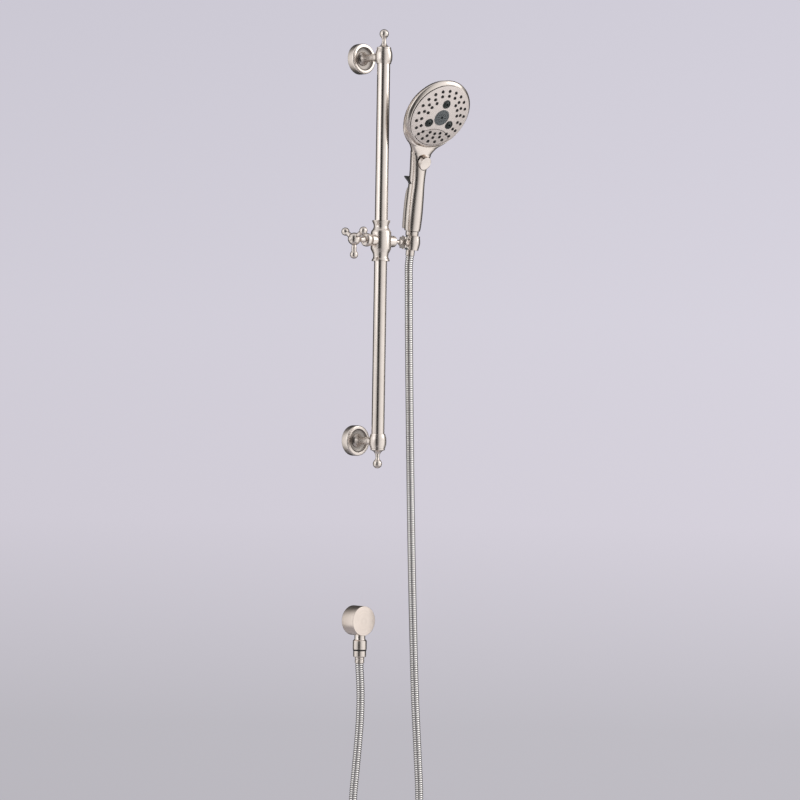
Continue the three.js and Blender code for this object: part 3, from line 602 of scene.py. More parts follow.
def darken(piece, material, chosen):
    """Gives the faces picked by chosen(spot, normal) a second material, as in a seam's shadow line."""
    piece.data.materials.append(MATERIALS[material])
    for face in piece.data.polygons:
        if chosen(face.center, face.normal):
            face.material_index = 1


# ---- the hose ----
# The CAD route, in metres: [distance from the elbow towards the holder, height].
HOSE_ROUTE = [
    (0, -1.0604), (0, -1.067), (0.001, -1.082), (0.0026, -1.110), (0.0026, -1.150), (0.0002, -1.195),
    (-0.004, -1.250), (-0.0076, -1.300), (-0.006, -1.342), (0.004, -1.372), (0.024, -1.393),
    (0.0515, -1.3992), (0.079, -1.393), (0.099, -1.372), (0.108, -1.342), (0.110, -1.300),
    (0.1056, -1.215), (0.100, -1.125), (0.0925, -0.950), (0.0865, -0.773), (0.0815, -0.597),
    (0.078, -0.450),
]
HOSE_TOP = [0.040, 0.030, 0.0229]  # the last points, in metres below the holder's centre
HOSE_OFF_WALL = 0.0626  # below the holder
HOSE_SIDES = 24
RINGS_PER_TURN = 8
ROUTE_STEP = 0.004
BENDS = (0.135, 0.085)  # where the hose bends under the slider, in metres below the holder's centre


def hose_route():
    low = Vector((ELBOW.x, -OUTLET_OUT * MM, 0))
    high = Vector((HOLDER.x, -HOSE_OFF_WALL, 0))
    towards = (high - low).normalized()
    span = (high - low).length
    rows = HOSE_ROUTE + [(span - 0.0012, -0.400)]
    points = [low + towards * q + UP * z for q, z in rows]
    return points + [HOLDER - HANDLE_UP * below for below in HOSE_TOP]


def through(points, step):
    """A centripetal curve through the points, as points a step apart."""
    ends = [points[0] * 2 - points[1], points[-1] * 2 - points[-2]]
    padded = [ends[0], *points, ends[1]]
    dense = []
    for i in range(1, len(padded) - 2):
        a, b, c, d = padded[i - 1 : i + 3]
        ta = -math.sqrt((b - a).length)
        tc = math.sqrt((c - b).length)
        td = tc + math.sqrt((d - c).length)
        count = max(4, int((c - b).length / (step * 0.5)))
        for k in range(count):
            t = tc * k / count
            ab = a * ((0 - t) / -ta) + b * ((t - ta) / -ta)
            bc = b * ((tc - t) / tc) + c * (t / tc)
            cd = c * ((td - t) / (td - tc)) + d * ((t - tc) / (td - tc))
            abc = ab * ((tc - t) / (tc - ta)) + bc * ((t - ta) / (tc - ta))
            bcd = bc * ((td - t) / td) + cd * (t / td)
            dense.append(abc * ((tc - t) / tc) + bcd * (t / tc))
    dense.append(points[-1])
    return dense


def spaced(line, count):
    """The same line as count even steps."""
    lengths = [0.0]
    for a, b in zip(line, line[1:]):
        lengths.append(lengths[-1] + (b - a).length)
    made = []
    i = 0
    for k in range(count + 1):
        want = lengths[-1] * k / count
        while i < len(line) - 2 and lengths[i + 1] < want:
            i += 1
        share = (want - lengths[i]) / max(lengths[i + 1] - lengths[i], 1e-12)
        made.append(line[i].lerp(line[i + 1], share))
    return made, lengths[-1]


def hose_rings(centres):
    """Rings of an interlocked steel hose: a rounded bead for each turn, a narrow groove between."""
    rings = []
    normal = Vector((1, 0, 0))
    for i, centre in enumerate(centres):
        ahead = centres[min(i + 1, len(centres) - 1)]
        behind = centres[max(i - 1, 0)]
        tangent = (ahead - behind).normalized()
        normal = (normal - tangent * normal.dot(tangent)).normalized()
        side = tangent.cross(normal)
        bead = math.sin(math.pi * (i % RINGS_PER_TURN) / RINGS_PER_TURN) ** 0.75
        radius = (HOSE_DIAMETER / 2 - HOSE_GROOVE * (1 - bead)) * MM
        ring = []
        for angle in angles(HOSE_SIDES):
            point = centre + (normal * math.cos(angle) + side * math.sin(angle)) * radius
            ring.append(tuple(point / MM))
        rings.append(ring)
    return rings


def build_hose():
    """Three pieces of one hose, cut apart at two levels below the holder."""
    line = through(hose_route(), ROUTE_STEP)
    turns = round(spaced(line, 10)[1] / (HOSE_PITCH * MM))
    centres = spaced(line, turns * RINGS_PER_TURN)[0]
    rings = hose_rings(centres)
    level = [(HOLDER - centre).dot(HANDLE_UP) for centre in centres]
    cuts = []
    for below in BENDS:
        # the wall's leg of the hose, left of x = 0.05, is never the nearest
        nearest = min(range(len(centres)), key=lambda i: abs(level[i] - below) + (centres[i].x < 0.05))
        cuts.append(round(nearest / RINGS_PER_TURN) * RINGS_PER_TURN)
    spans = [(0, cuts[0]), (cuts[0], cuts[1]), (cuts[1], len(centres) - 1)]
    pieces = []
    for name, (start, end) in zip(("hose_main", "hose_under_holder", "hose_at_dock"), spans):
        piece = skinned(name, rings[start : end + 1], Matrix.Identity(4))
        finish(piece, "hose", "hose_steel", blended=True, sharp=80)
        # painted shade: the two rings of faces at each groove's bottom get the dark groove material
        piece.data.materials.append(MATERIALS["hose_groove_painted_shade"])
        for face in piece.data.polygons:
            step = (face.index // HOSE_SIDES) % RINGS_PER_TURN
            if len(face.vertices) == 4 and step in (0, RINGS_PER_TURN - 1):
                face.material_index = 1
        pieces.append(piece)
    main, under, dock = pieces
    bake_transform(main)
    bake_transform(under)
    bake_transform(dock)


build_hose()


# ---- bar, brackets and finials ----
def build_bar():
    low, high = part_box("slide_bar")
    middle = (low + high) / 2
    half = (high.z - low.z) / 2 / MM
    outline = [(BAR_BORE, -half), (BAR_RADIUS, -half), (BAR_RADIUS, half), (BAR_BORE, half)]
    finish(turned("slide_bar_tube", outline, along(middle, UP), bored=True), "slide_bar", "bar_nickel")


def build_bracket(level, flip, box):
    """A flange, its arm with the barrel round the bar, and its finial, which is flipped at the lower end."""
    middle = Vector((0, SLIDER.y, (box[0].z + box[1].z) / 2))
    wall = Vector((0, 0, middle.z))
    rim = [(26.75, 11.2), (26.65, 12.6), (26.2, 13.9), (25.4, 14.7), (24.4, 15)]
    dish = [(21, 15), (20.5, 14.6), (19.8, 13), (18.2, 11.6), (15.4, 10.8), (12, 10.6)]
    back = [(6.4, 10.6), (6.4, 8.2), (20.5, 8.2), (24.3, 6.4)]
    ring = [(24.3, 0), (26.75, 0), *curved(rim), *curved(dish), *back]
    flange = turned(level + "_flange_ring", ring, along(wall, WALL_OUT), bored=True)
    cut(flange, rod(2.2, 20, 30, along(wall + Vector((0, -3.3, 0)) * MM, DOWN)))
    finish(flange, level + "_flange")
    # painted shade: the dish inside the flange's rim gets a darker copy of the nickel
    darken(flange, "painted_shade_nickel", lambda spot, normal: spot.xy.length < 0.0206 and spot.z > 0.01)

    flare = [(11.9, 12), (9.3, 15), (7.3, 20), (6.3, 27), (6, 34), (6, 40.4)]
    collar = [(7.1, 41), (7.4, 42.1), (7.1, 43.2), (6.2, 43.8)]
    arm_outline = [(0, 10.9), (12.2, 10.9), *curved(flare), *curved(collar), (6, 46), (6, 58), (0, 58)]
    arm = turned("arm", arm_outline, along(wall, WALL_OUT))
    bulge = [(13.1, -11), (14.6, -6), (15, 0), (14.6, 6), (13.1, 11)]
    side = [(12.75, -BARREL_HALF), *bulge, (12.75, BARREL_HALF)]
    barrel_outline = [(0, -BARREL_HALF), *curved(side), (0, BARREL_HALF)]
    bracket = turned(level + "_bracket_casting", barrel_outline, along(middle, UP))
    add(bracket, arm)
    cut(bracket, rod(BAR_RADIUS + 0.3, -20, 20, along(middle, UP), FINE_SIDES))
    cut(bracket, rod(6.3, 10, 17.6, along(wall, WALL_OUT)))
    finish(bracket, level + "_bracket")
    # painted shade: the arm's part near the wall gets a slightly darker copy of the nickel
    darken(bracket, "arm_painted_shade_nickel", lambda spot, normal: (bracket.matrix_world @ spot).y > -0.036)

    neck = [(9.6, 3.3), (7, 5), (4.6, 8.6), (3.6, 12.5), (3.5, 16.5), (4.3, 18.6)]
    ball = ball_outline(8, 26.2, 44, 176)
    outline = [(0, -9.7), (9.4, -9.7), (9.4, 0), (12.5, 0), (12.5, 2.4), *curved(neck), *ball, (0, 34.2)]
    foot = middle + UP * flip * (BARREL_HALF + 0.3) * MM
    finish(turned(level + "_finial_turning", outline, along(foot, UP * flip)), level + "_finial")


build_bar()
for bracket_row in BRACKETS:
    build_bracket(*bracket_row)


# ---- wall elbow and its outlet ----
def build_elbow():
    drum = [(0, 28.2), (24.2, 28.2), (24.2, 0), (26, 0), (26, 30), (0, 30)]
    cover = turned("elbow_cover_drum", drum, along(ELBOW, WALL_OUT), sides=128, fillet=0.8)
    cut(cover, rod(9.8, -27, -18, OUTLET))
    finish(cover, "elbow_cover", "drum_nickel")

    shoulder = curved([(10, -32.8), (11.2, -33.9), (12.2, -35)])
    nipple = [
        (5.6, -18.3), (9.5, -18.3), (9.5, -31.6), *shoulder, (12.2, -50), (8.5, -50), (8.5, -56.5),
        (5.2, -56.5), (5.2, -50), (8.2, -50), (8.2, -34), (5.6, -34),
    ]
    finish(turned("outlet_nipple_turning", nipple, OUTLET, bored=True), "outlet_nipple")
    gasket = [(8.8, -52.2), (12, -52.2), (12, -50.3), (8.8, -50.3)]
    finish(turned("outlet_gasket_ring", gasket, OUTLET, bored=True, fillet=0.6), "outlet_gasket", "rubber")
    nut = [(8.8, -52.5), (11.3, -52.5), (11.3, -62.4), (10.3, -63.4), (6.6, -63.4), (6.6, -60), (8.8, -60)]
    finish(turned("outlet_nut_turning", nut, OUTLET, bored=True, fillet=0.5), "outlet_hose_nut")
    ferrule = [
        (4.5, -57.2), (8.4, -57.2), (8.4, -59.7), (6.3, -59.7), (6.3, -63.7), (8.2, -63.7), (8.2, -67),
        (7.8, -67.5), (7.8, -68.3), (8.2, -68.8), (8.2, -74), (4.5, -74),
    ]
    finish(turned("outlet_ferrule_turning", ferrule, OUTLET, bored=True), "outlet_ferrule")


build_elbow()


# ---- slider ----
def build_slider():
    place = along(SLIDER, UP)
    upper_waist = [(15.3, 18.7), (14.2, 20.6), (12.9, 23.8), (13.3, 28.2), (15.6, 33.6)]
    lower_waist = [(15.6, -33.6), (13.5, -29.6), (13.15, -26.7), (13.8, -22.6), (16.2, -17.6), (17.85, -14.4)]
    outline = [
        (0, -35.3), (15.85, -35.3), *curved(lower_waist), *curved([(17.85, 14.4), (16.9, 17)]),
        *curved(upper_waist), (15.85, 35.3), (0, 35.3),
    ]
    body = turned("slider_casting", outline, place)
    clamp_stub = turned("stub", [(0, 5), (9.9, 5), (9.9, 25.6), (0, 25.6)], along(SLIDER, LEFT), fillet=0.7)
    swivel_end = [(10, 27.8), (9.75, 29.3), (9, 30.5), (7.8, 31.2)]
    swivel_outline = [(0, 5), (10, 5), *curved(swivel_end), (0, 31.2)]
    add(body, clamp_stub, turned("stub", swivel_outline, along(SLIDER, RIGHT)))
    cut(body, rod(11.6, -40, 40, place, FINE_SIDES))
    for low, high in ((31, 40), (-40, -31)):
        cut(body, rod(13.2, low, high, place, FINE_SIDES))
    cut(body, rod(6.6, 8, 30, along(SLIDER, LEFT)))
    for radius, low, high in ((6.1, 8, 22), (3.3, 20, 45), (6.8, 28.2, 45)):
        cut(body, rod(radius, low, high, along(SLIDER, RIGHT)))
    finish(body, "slider_body")


def build_clamp():
    axis = along(SLIDER, LEFT)
    bulge = [(9.6, 27.2), (11.2, 30), (11.7, 33.4), (11.2, 36.6), (9.4, 38.8)]
    bonnet = [(3.3, 24), (6.3, 24), (6.3, 25.9), (9.2, 25.9), *curved(bulge), (6.2, 39.4), (3.3, 39.4)]
    finish(turned("clamp_bonnet_turning", bonnet, axis, bored=True), "clamp_bonnet")
    collar = [(5.4, 39.9), (4.7, 41.2), (4.4, 43), (4.4, 46), (4.6, 48.4), (5, 50.4)]
    stem = [(0, 17), (3, 17), (3, 39.7), *curved(collar), (3, 50.5), (3, 58), (0, 58)]
    finish(turned("clamp_stem_turning", stem, axis, SMALL_SIDES), "clamp_stem")

    hub_centre = SLIDER + LEFT * HUB_OUT * MM
    ball = ball_outline(HUB_RADIUS, HUB_OUT, 0, 181)
    hub = turned("clamp_hub_ball", ball, axis, fillet=0)
    cut(hub, rod(5.4, 49, 51.6, axis), rod(3.3, 49, 58.3, axis), rod(4.3, 70.6, 75, axis))
    neck = [(3.7, 10.75), (4.3, 13), (4.4, 17), (4.2, 20.4)]
    knob = [(5.7, 22.9), (6.7, 24.9), (7, 27), (6.7, 29.1), (5.7, 31.1), (4, 32.8), (2, 33.7), (0, 34)]
    for i in range(3):
        angle = -math.pi / 2 + 2 * math.pi * i / 3
        towards = Vector((0, math.cos(angle), math.sin(angle)))
        spoke_place = along(hub_centre, towards)
        cut(hub, rod(3.1, 6.2, 12, spoke_place))
        spoke = [(0, 6.5), (2.8, 6.5), (2.8, 10.7), *curved(neck), *curved(knob)]
        name = "clamp_spoke_" + str(i + 1)
        finish(turned(name + "_turning", spoke, spoke_place, 56), name)
    finish(hub, "clamp_hub")
    cap = [(0, 70.9), (4, 70.9), (4, 72.3), *curved([(3.4, 72.8), (2, 73.2), (0, 73.3)])]
    finish(turned("clamp_cap_turning", cap, axis, SMALL_SIDES), "clamp_hub_cap")


build_slider()
build_clamp()


# ---- swivel and holder ----
def build_swivel():
    axis = along(SLIDER, RIGHT)
    pin = [(0, 16), (5.7, 16), (5.7, 21.7), (3, 21.7), (3, 57.2), (0, 57.2)]
    finish(turned("swivel_pin_turning", pin, axis, SMALL_SIDES), "swivel_pin")

    def lobes(angle, radius):
        return 1 - 2.2 / 12 * (0.5 - 0.5 * math.cos(10 * angle)) * min(1, max(0, (radius - 9) / 2))

    knob = [(3.9, 42.2), (4.9, 44), (5.3, 46.2), (4.9, 48.4), (4.5, 49.3)]
    rim = [(11.3, 50.2), (12, 50.9), (12, 52.8), (11.3, 53.5)]
    disc = [(3.3, 42.2), *curved(knob), (4.6, 50.2), *rim, (3.3, 53.5)]
    piece = turned("swivel_disc_knurl", disc, axis, 120, bored=True, wave=lobes)
    finish(piece, "swivel_disc")
    # painted shade: the swivel disc's flat faces, out past its bore, get a darker copy of the nickel
    darken(piece, "painted_shade_nickel", lambda spot, normal: spot.xy.length > 0.0056 and abs(normal.z) > 0.5)


def hose_slot():
    return block((20, 16.6, 40), (10, 0, 0), CUP)


def build_holder():
    arm = along(HOLDER, LEFT)
    waist = [(11.5, -10.6), (12.6, -6), (13.4, 0), (13, 5), (12.1, 9.6)]
    foot = [(0, -12.5), (11.3, -12.5), (11.7, -11.8)]
    outline = [*foot, *curved(waist), (12.3, 11.4), (11.8, 12.5), (0, 12.5)]
    cup = turned("holder_cup_casting", outline, CUP @ shift(1.5, -2, 0))
    neck_end = HOLDER.x / MM - 53.8
    neck = [(8.4, neck_end), (7.8, neck_end - 1), (7.4, neck_end - 2.2), (7, neck_end - 5)]
    add(cup, turned("neck", [(0, neck_end), *curved(neck), (7, 8.5), (0, 8.5)], arm))
    cut(cup, rod(3.3, neck_end - 3.7, neck_end + 1, arm), rod(10.7, -20, 20, CUP, FINE_SIDES))
    cut(cup, hose_slot())
    finish(cup, "holder_cup")
    ring = [(8.85, -12.5), (10.5, -12.5), (10.5, 12.5), (9.95, 12.5)]
    liner = turned("holder_liner_sleeve", ring, CUP, bored=True, fillet=0.3)
    cut(liner, hose_slot())
    finish(liner, "holder_liner", "grey_plastic")


def build_hose_end():
    crimp = [(7.8, -10.4), (6, -10.4), (6, 8.3), (7.8, 8.3)]
    ferrule = [(4.2, -22.5), (7.8, -22.5), *crimp, (7.8, 10.6), (4.2, 10.6)]
    finish(turned("hose_ferrule_turning", ferrule, HANDSET, bored=True), "hose_ferrule_top")
    nut = [
        (6.3, -10), (8.5, -10), (9.6, 12.7), (11, 12.8), (11.5, 13.6), (11.5, 19.9), (11, 20.7), (8.3, 20.7),
        (8.3, 8), (6.3, 8),
    ]
    finish(turned("cone_nut_turning", nut, HANDSET, bored=True), "cone_nut")


build_swivel()
build_holder()
build_hose_end()

# ---- handset body ----
# Each station: how far forward and how high its front is, the same of its back, its half width, and how far
# forward its widest place is (0 is a plain ellipse).
STATIONS = [
    (13.1, 21, -13.9, 21, 13.6, 0),
    (14.2, 27, -14.8, 27, 14.6, 0),
    (14.9, 48, -15.9, 48, 15.5, 0),
    (14.5, 74, -16.3, 74, 15.1, 0),
    (13.8, 104, -16.2, 104, 13.8, 0),
    (13.6, 126, -15.9, 126, 14.4, 0.03),
    (14.2, 143, -15.8, 148, 17, 0.1),
    (15.2, 154, -14.4, 165, 20.8, 0.2),
    (15.6, 161, -11.5, 179, 26.5, 0.28),
    (15.6, 165, -7.5, 191, 33, 0.28),
    (15.5, 166.6, -2.6, 202.5, 40, 0.22),
    (15.3, 167.9, 14.6, 231.5, 54, 0.08),
    (15.1, 168.2, 30.2, 261, 61, 0),
    (15, 168.3, 45.2, 280.4, 63.8, 0),
    (14.9, 168.4, 57.2, 287.6, 64.8, 0),
]
NECK_START = 7  # the first station of the head
HEAD_EXTRA = 0.8  # how much further in the head's rings are drawn
BODY_SIDES = 128


def station_ring(station, inset):
    """One ring of the handset, as points in millimetres, drawn in by the inset."""
    front_forward, front_height, back_forward, back_height, width, egg = station
    front = Vector((0, -front_forward, front_height))
    back = Vector((0, -back_forward, back_height))
    half = (front - back) / 2
    shrink = 1 - inset / half.length
    ring = []
    for angle in angles(BODY_SIDES):
        forward = math.cos(angle)
        across = math.sin(angle) * (1 + egg * forward)
        point = (front + back) / 2 + half * forward * shrink
        ring.append((across * (width - inset), point.y, point.z))
    return ring


def head_ring(radius, height, lean=0):
    """A circle about the face's own axis, height in front of its seam. The lean moves its foot forward."""
    ring = []
    for angle in angles(BODY_SIDES):
        middle = FACE_CENTRE + FACE_OUT * (height + lean * math.cos(angle))
        point = middle - FACE_UP * radius * math.cos(angle)
        ring.append((radius * math.sin(angle), point.y, point.z))
    return ring


def smooth_stations(inset, steps):
    """The stations' rings with smooth ones between them, those of the head drawn in a little further."""
    made = []
    for i, stretch in enumerate(stretches(STATIONS)):
        depth = inset if i < NECK_START else inset + HEAD_EXTRA
        for k in range(steps):
            made.append(station_ring([spline(*values, k / steps) for values in zip(*stretch)], depth))
    made.append(station_ring(STATIONS[-1], inset + HEAD_EXTRA))
    return made


def button_post(wide, long, low, high, offset=0.0, sides=72):
    """An oval post about the button's own axis."""
    return skinned("post", [oval(wide, long, height, sides, offset) for height in (low, high)], BUTTON)


def handset_solid(name):
    """The handset's closed outer form."""
    rings = smooth_stations(0, 6)
    rings += [head_ring(65, -7, 2), head_ring(64.85, -6.4, 0.6)]
    rim = [(64.4, -5.7), (63.5, -4.8), (62.5, -3.9), (61.5, -3.1), (60.6, -2.45), (60, -2.15)]
    rings += [head_ring(radius, height) for radius, height in rim]
    return skinned(name, rings, HANDSET)


def build_body():
    wall = 2.4
    body = handset_solid("handset_shell")
    hollow = smooth_stations(wall, 3)
    hollow[0] = [(x, y, z + wall) for x, y, z in hollow[0]]
    hollow += [head_ring(62, -7, 2), head_ring(60.5, -3.6), head_ring(58.6, -2), head_ring(57, 4)]
    plug = combine(button_post(14.4, 18, -13, 6, 2.5), handset_solid("outer"), "INTERSECT")
    cut(body, skinned("hollow", hollow, HANDSET))
    add(body, plug)
    cut(body, button_post(12, 15.8, -11.3, 10, 2.5))
    cut(body, rod(3.4, -20, 0, BUTTON), rod(8.4, 15, 26, HANDSET))
    cut(body, block((8.8, 12, 12.6), (0, 16, 103.7), HANDSET))
    body.data.transform(body.matrix_world)
    body.matrix_world = Matrix.Identity(4)
    finish(body, "handset_body", "handle_nickel")
    # painted shade: faces below the handle's foot that face down get the black rubber material, as the shadow line
    # under the handle
    foot = HOLDER + HANDLE_UP * 0.0225

    def is_painted_shade_underside(spot, normal):
        return (spot - foot).dot(HANDLE_UP) < 0 and normal.dot(HANDLE_UP) < -0.5

    darken(body, "rubber", is_painted_shade_underside)


def build_grip():
    """The grip strip down the back of the handle."""
    rings = []
    lower = [(24, 20.7, 7.8), (30, 21.3, 8.4), (58, 21.9, 8.5)]
    upper = [(80, 21.3, 8.5), (91, 19.7, 8.3), (96, 18, 7.4)]
    for height, reach, half in curved(lower + upper, 5):
        ring = [(-half, 5, height)]
        for k in range(17):
            angle = math.pi * (1 - k / 16)
            across = math.cos(angle)
            ring.append((half * across, reach - 2.4 * (1 - math.sin(angle) ** 0.6), height))
        ring.append((half, 5, height))
        rings.append(ring)
    strip = skinned("back_grip_strip", rings, HANDSET)
    cut(strip, handset_solid("outer"))
    finish(strip, "back_grip", "handle_nickel")


def build_lever():
    """The thumb lever: a yoke that straddles the back of the handle, on a web and a stem from its pivot."""
    pivot = HANDSET @ shift(0, 13, 101)
    yoke_place = pivot @ along((0, 0, 0), (0, -0.56, 0.83))
    lever = block((32.8, 21.6, 2.8), (0, 1.2, 9.3), yoke_place, bevel=0.9)
    lever.name = "pause_lever_yoke"
    cut(lever, grown_handle(1.0))
    add(lever, block((7.6, 4, 11), (0, 6.4, 8.5), pivot, bevel=0.4))
    add(lever, block((7.6, 10, 4), (0, 5, 0), pivot @ along((0, 0, 0), (0, -1, 1)), bevel=0.4))
    add(lever, rod(3, -4, 4, pivot @ along((0, 0, 0), RIGHT)), block((4, 11.5, 2.4), (0, -5.75, 0), pivot))
    finish(lever, "pause_lever", "dark_plastic")


def grown_handle(clearance):
    rings = smooth_stations(-clearance, 2)[:2 * NECK_START]
    return skinned("handle", rings, HANDSET)


def build_button():
    sides = 80
    crown = [(-2.2, 1.0), (-0.5, 1.0), (-0.15, 0.99), (0, 0.965), (-0.1, 0.8), (-0.25, 0.5), (-0.3, 0.15)]
    rings = [oval(BUTTON_WIDE * scale, BUTTON_LONG * scale, height, sides) for height, scale in crown]
    button = skinned("selector_button_cap", rings, BUTTON)
    add(button, button_post(BUTTON_WIDE, BUTTON_LONG, -8, -2.1, sides=sides))
    spring_well = turned("well", [(3, -9), (7, -9), (7, -3.3), (3, -3.3)], BUTTON, SMALL_SIDES, 0, bored=True)
    cut(button, spring_well)
    add(button, rod(3, -15, -3, BUTTON))
    finish(button, "selector_button", "handle_nickel")


build_body()
build_grip()
build_lever()
build_button()


# ---- spray face ----
def dome(radius):
    return DOME_RISE * (1 - (radius / PLATE_RADIUS) ** 2)


def on_dome(radius, degrees):
    angle = math.radians(degrees)
    return (radius * math.cos(angle), radius * math.sin(angle), dome(radius))


NOZZLES = [on_dome(49.5, 91.5 + 360 / 21 * i) for i in range(21)]
NOZZLES += [on_dome(40.7, 90 + 20 * i) for i in range(18)]
NOZZLES += [on_dome(32.5, middle + side) for middle in (30, 150, 270) for side in (-20, 0, 20)]
MIST = [on_dome(25.5, degrees) for degrees in (90, 210, 330)]
PANEL_CENTRE = (0, -68, 0)
PANEL_ARC = 45
PANEL_RIM = 56.6
SEAM = 0.55


def at_face(x, y, z):
    return FACE @ shift(x, y, z)


def domed_disc(name, radius, top, bottom):
    radii = [radius * k / 16 for k in range(17)]
    upper = [(r, dome(r) - top) for r in radii]
    lower = [(r, dome(r) - bottom) for r in radii[::-4]]
    return turned(name, upper + lower, FACE, 144)


def nozzle_holes():
    """Cutters for the nozzle holes, each with a softened edge."""
    flared = [(0, -6), (2.75, -6), (2.75, -0.75), (2.95, -0.35), (3.4, 0.02), (3.6, 3), (0, 3)]
    holes = [turned("hole", flared, at_face(*place), 24, 0) for place in NOZZLES]
    mist_edge = MIST_RADIUS + 0.3
    lip = [(mist_edge, -0.2), (mist_edge + 0.5, 0.3), (mist_edge + 0.6, 4)]
    collar = [(0, -8), (mist_edge, -8), *lip, (0, 4)]
    holes += [turned("hole", collar, at_face(*place), 48, 0) for place in MIST]
    holes.append(rod(INSERT_RADIUS + 0.3, -20, 20, FACE, 96))
    return gather("holes", holes, FACE)


def panel_rounds(grown):
    """Two cylinders that overlap where the lower jet panel is."""
    arc = rod(PANEL_ARC + grown, -20, 20, at_face(*PANEL_CENTRE), 160)
    return arc, rod(PANEL_RIM + grown, -20, 20, FACE, 144)


def build_plates():
    """The domed face plate, and the panel that fills the opening low in it."""
    plate = domed_disc("faceplate_disc", PLATE_RADIUS - 0.1, 0, 2.2)
    cut(plate, nozzle_holes())
    panel = new_object("jet_panel_plate", plate.data.copy(), plate.matrix_world)
    outer, inner = panel_rounds(SEAM)
    cut(plate, combine(outer, inner, "INTERSECT"))
    for tool in panel_rounds(-SEAM):
        combine(panel, tool, "INTERSECT")
    finish(plate, "faceplate", "face_plastic")
    # painted shadow: the plate's outer side wall gets the black rubber material, as the shadow line of the seam
    # round the plate
    edge = 0.97 * PLATE_RADIUS * MM
    darken(plate, "rubber", lambda spot, normal: spot.xy.length > edge and abs(normal.z) < 0.3)
    finish(panel, "lower_jet_panel", "panel_plastic")


def build_nozzles():
    """The rubber mat: a sheet behind the plate and one hollow tip for each nozzle."""
    sheet = domed_disc("sheet", 54.5, 2.5, 3.9)
    cutters = [rod(MIST_RADIUS + 0.3, -20, 20, at_face(*place)) for place in MIST]
    cutters.append(rod(INSERT_RADIUS + 0.3, -20, 20, FACE))
    cut(sheet, gather("cutters", cutters, FACE))
    crown = [(2.45, 0.1), (2.1, 0.85), (1.6, 1.1), (1.1, 0.9), (0.9, 0)]
    tip = [(0, -2.7), (2.6, -2.7), *crown, (0.9, -1.6), (0, -1.6)]
    tips = [turned("tip", tip, at_face(*place), 24, 0) for place in NOZZLES]
    mat = gather("nozzle_mat_tips", [sheet, *tips], FACE)
    finish(mat, "nozzle_mat", "rubber")


def build_centre():
    """The grey centre jet with its rings of fine holes, and the three mist nozzles round it."""
    outer_ring = [(INSERT_RADIUS, -4.6), (INSERT_RADIUS, 5.6), (14.5, 5.95), (13.9, 6.3), (10.5, 6.45)]
    inner_ring = [(10.2, 6.2), (9.8, 6.2), (9.5, 6.5), (3.4, 6.7), (2.9, 6.3), (2.5, 5.6)]
    outline = [(0, -4.6), *outer_ring, *inner_ring, (2.2, 2), (0, 2)]
    insert = turned("centre_jet_disc", outline, FACE, fillet=0.15)
    holes = []
    for radius, count in ((5.2, 8), (7.9, 14), (12.1, 22)):
        for angle in angles(count):
            place = at_face(radius * math.cos(angle), radius * math.sin(angle), 0)
            holes.append(rod(0.95, 4, 8, place, 12))
    cut(insert, gather("holes", holes, FACE))
    finish(insert, "center_insert", "grey_plastic")

    rim = [(MIST_RADIUS, 0.1), (7.4, 0.5), (7, 0.6), (6.5, 0.3), (5.9, -0.3), (5.2, 0.1)]
    nose = [(5.2, 0.1), (4.6, 0.8), (3.7, 1.5), (2.9, 1.85), (2.2, 1.85), (1.9, 1.4)]
    for i, (x, y, z) in enumerate(MIST):
        front = [*curved(rim, 3), *curved(nose, 3)[1:], (1.7, -1.5), (0, -1.5)]
        outline = [(0, -5 - z), (MIST_RADIUS, -5 - z), *front]
        name = "mist_nozzle_" + str(i + 1)
        cup = turned(name + "_nose", outline, at_face(x, y, z), 56, 0)
        finish(cup, name, "mist_plastic")


build_plates()
build_nozzles()
build_centre()


# ---- CAD pieces that keep their shape ----
def finish_inner():
    """Hidden and inner pieces stay as CAD made them, with the material of their slot."""
    for name, node in frame["nodes"].items():
        if node.hide_render:
            continue
        node.data.materials.clear()
        node.data.materials.append(MATERIALS[SLOT_OF[name]])


finish_inner()


# ---- floor, light and surroundings ----
def build_floor():
    """A plain pale disc under the hose's loop."""
    radius = 0.88
    gap = 0.03
    middle = Vector(((cad_low.x + cad_high.x) / 2, (cad_low.y + cad_high.y) / 2, cad_low.z - gap))
    floor = turned("floor", [(0, -6), (radius / MM, -6), (radius / MM, 0), (0, 0)], along(middle, UP), 128, 2)
    look = Look("pale_floor", 0.0, 0.7)
    grain = look.noise(look.even_place(60), detail=5.0)
    look.colour(look.ramp(grain, [(0.3, (0.62, 0.61, 0.65)), (0.7, (0.66, 0.65, 0.69))]))
    floor.data.materials.append(look.material)


LIGHT_AIM = Vector((0.03, -0.09, -0.5))


def area_light(name, place, size, power, colour):
    data = bpy.data.lights.new(name, "AREA")
    data.shape = "DISK"
    data.size = size
    data.energy = power
    data.color = colour
    light = new_object(name, data, Matrix.Translation(place))
    aim = LIGHT_AIM - Vector(place)
    light.rotation_mode = "QUATERNION"
    light.rotation_quaternion = aim.to_track_quat("-Z", "Y")


def grey(value):
    return (value, value, value)


def leaning(graph, around, direction):
    """How far each direction of the surroundings leans towards this one, from -1 to 1."""
    return graph.calculate("VectorMath", "DOT_PRODUCT", around, direction)["Value"]


def compass(graph, parts):
    """The heading of each direction, in degrees from +X towards +Y."""
    heading = graph.calculate("Math", "ARCTAN2", parts["Y"], parts["X"])[0]
    return graph.calculate("Math", "MULTIPLY", heading, 180 / math.pi)[0]


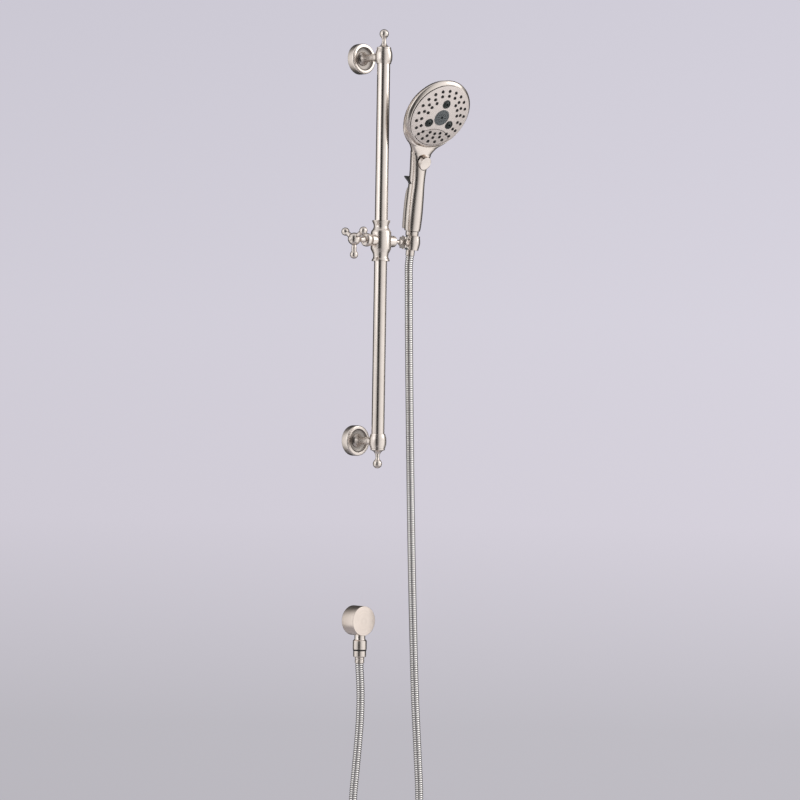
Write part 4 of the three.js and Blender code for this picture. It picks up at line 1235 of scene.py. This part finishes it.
def lit_room(graph, around, parts):
    """Pale walls of light, with a dark gap behind the viewer, who stands at a heading of about -132."""
    black, low, mid, pale, bright = [(v, 0.99 * v, 0.985 * v) for v in (0.012, 0.16, 0.68, 0.95, 1.08)]
    walls = graph.ramp(compass(graph, parts), [
        (-180, mid), (-170, mid), (-163, low), (-157, black), (-139, black), (-128, low), (-112, mid),
        (-88, pale), (-62, bright), (70, bright), (120, bright), (146, pale), (180, mid),
    ], -180, 180)
    dull = (0.72, 0.71, 0.72)
    ends = [(-1, dull), (-0.5, (0.84, 0.83, 0.83)), (0.5, pale), (1, dull)]
    steep = [
        (-1, grey(1)), (-0.97, grey(0.9)), (-0.8, grey(0)), (0.8, grey(0)), (0.97, grey(0.9)), (1, grey(1)),
    ]
    height = parts["Z"]
    open_room = graph.mix(graph.ramp(height, steep, -1, 1), walls, graph.ramp(height, ends, -1, 1))
    behind = graph.ramp(leaning(graph, around, VIEW_AHEAD), [
        (-1, grey(1)), (0.12, grey(1)), (0.38, (0.3, 0.29, 0.28)), (0.6, grey(0.06)), (1, grey(0.03)),
    ], -1, 1)
    return graph.mix(1.0, open_room, behind, "MULTIPLY")


def plain_backdrop(graph, around, parts):
    """What the camera sees behind the object: a pale wall with painted shade, darker towards the floor and a
    little towards the top, and a little darker on the left than on the right.
    """
    rise = graph.ramp(parts["Z"], [
        (-0.2, (0.49, 0.475, 0.52)), (-0.12, (0.51, 0.495, 0.54)), (-0.045, (0.645, 0.615, 0.69)),
        (0.03, (0.655, 0.63, 0.71)), (0.2, (0.60, 0.58, 0.66)),
    ], -0.2, 0.2)
    sides = [(-0.2, (0.96, 0.96, 0.955)), (0.2, (1.05, 1.05, 1.045))]
    sideways = graph.ramp(leaning(graph, around, VIEW_RIGHT), sides, -0.2, 0.2)
    return graph.mix(1.0, rise, sideways, "MULTIPLY")


def build_world():
    """A soft studio round the object, and a plain backdrop where the camera looks past it."""
    world = bpy.data.worlds.new("studio")
    bpy.context.scene.world = world
    world.use_nodes = True
    graph = Graph(world.node_tree)
    graph.tree.nodes.clear()
    around = graph.node("TexCoord").outputs["Generated"]
    parts = graph.split(around)
    lit = graph.node("Background", {"Color": lit_room(graph, around, parts)})
    seen = graph.node("Background", {"Color": plain_backdrop(graph, around, parts)})
    by_camera = graph.node("LightPath").outputs["Is Camera Ray"]
    join = graph.node("MixShader", {0: by_camera, 1: lit.outputs[0], 2: seen.outputs[0]})
    graph.node("OutputWorld", {"Surface": join.outputs[0]})


build_floor()
area_light("key_light", (2.6, -2.6, 1.4), 2.6, 22, (1.0, 0.98, 0.95))
area_light("fill_light", (-3.2, 0.4, 0.4), 2.2, 9, (0.98, 0.98, 1.0))
build_world()
bpy.context.scene.view_settings.view_transform = "Standard"
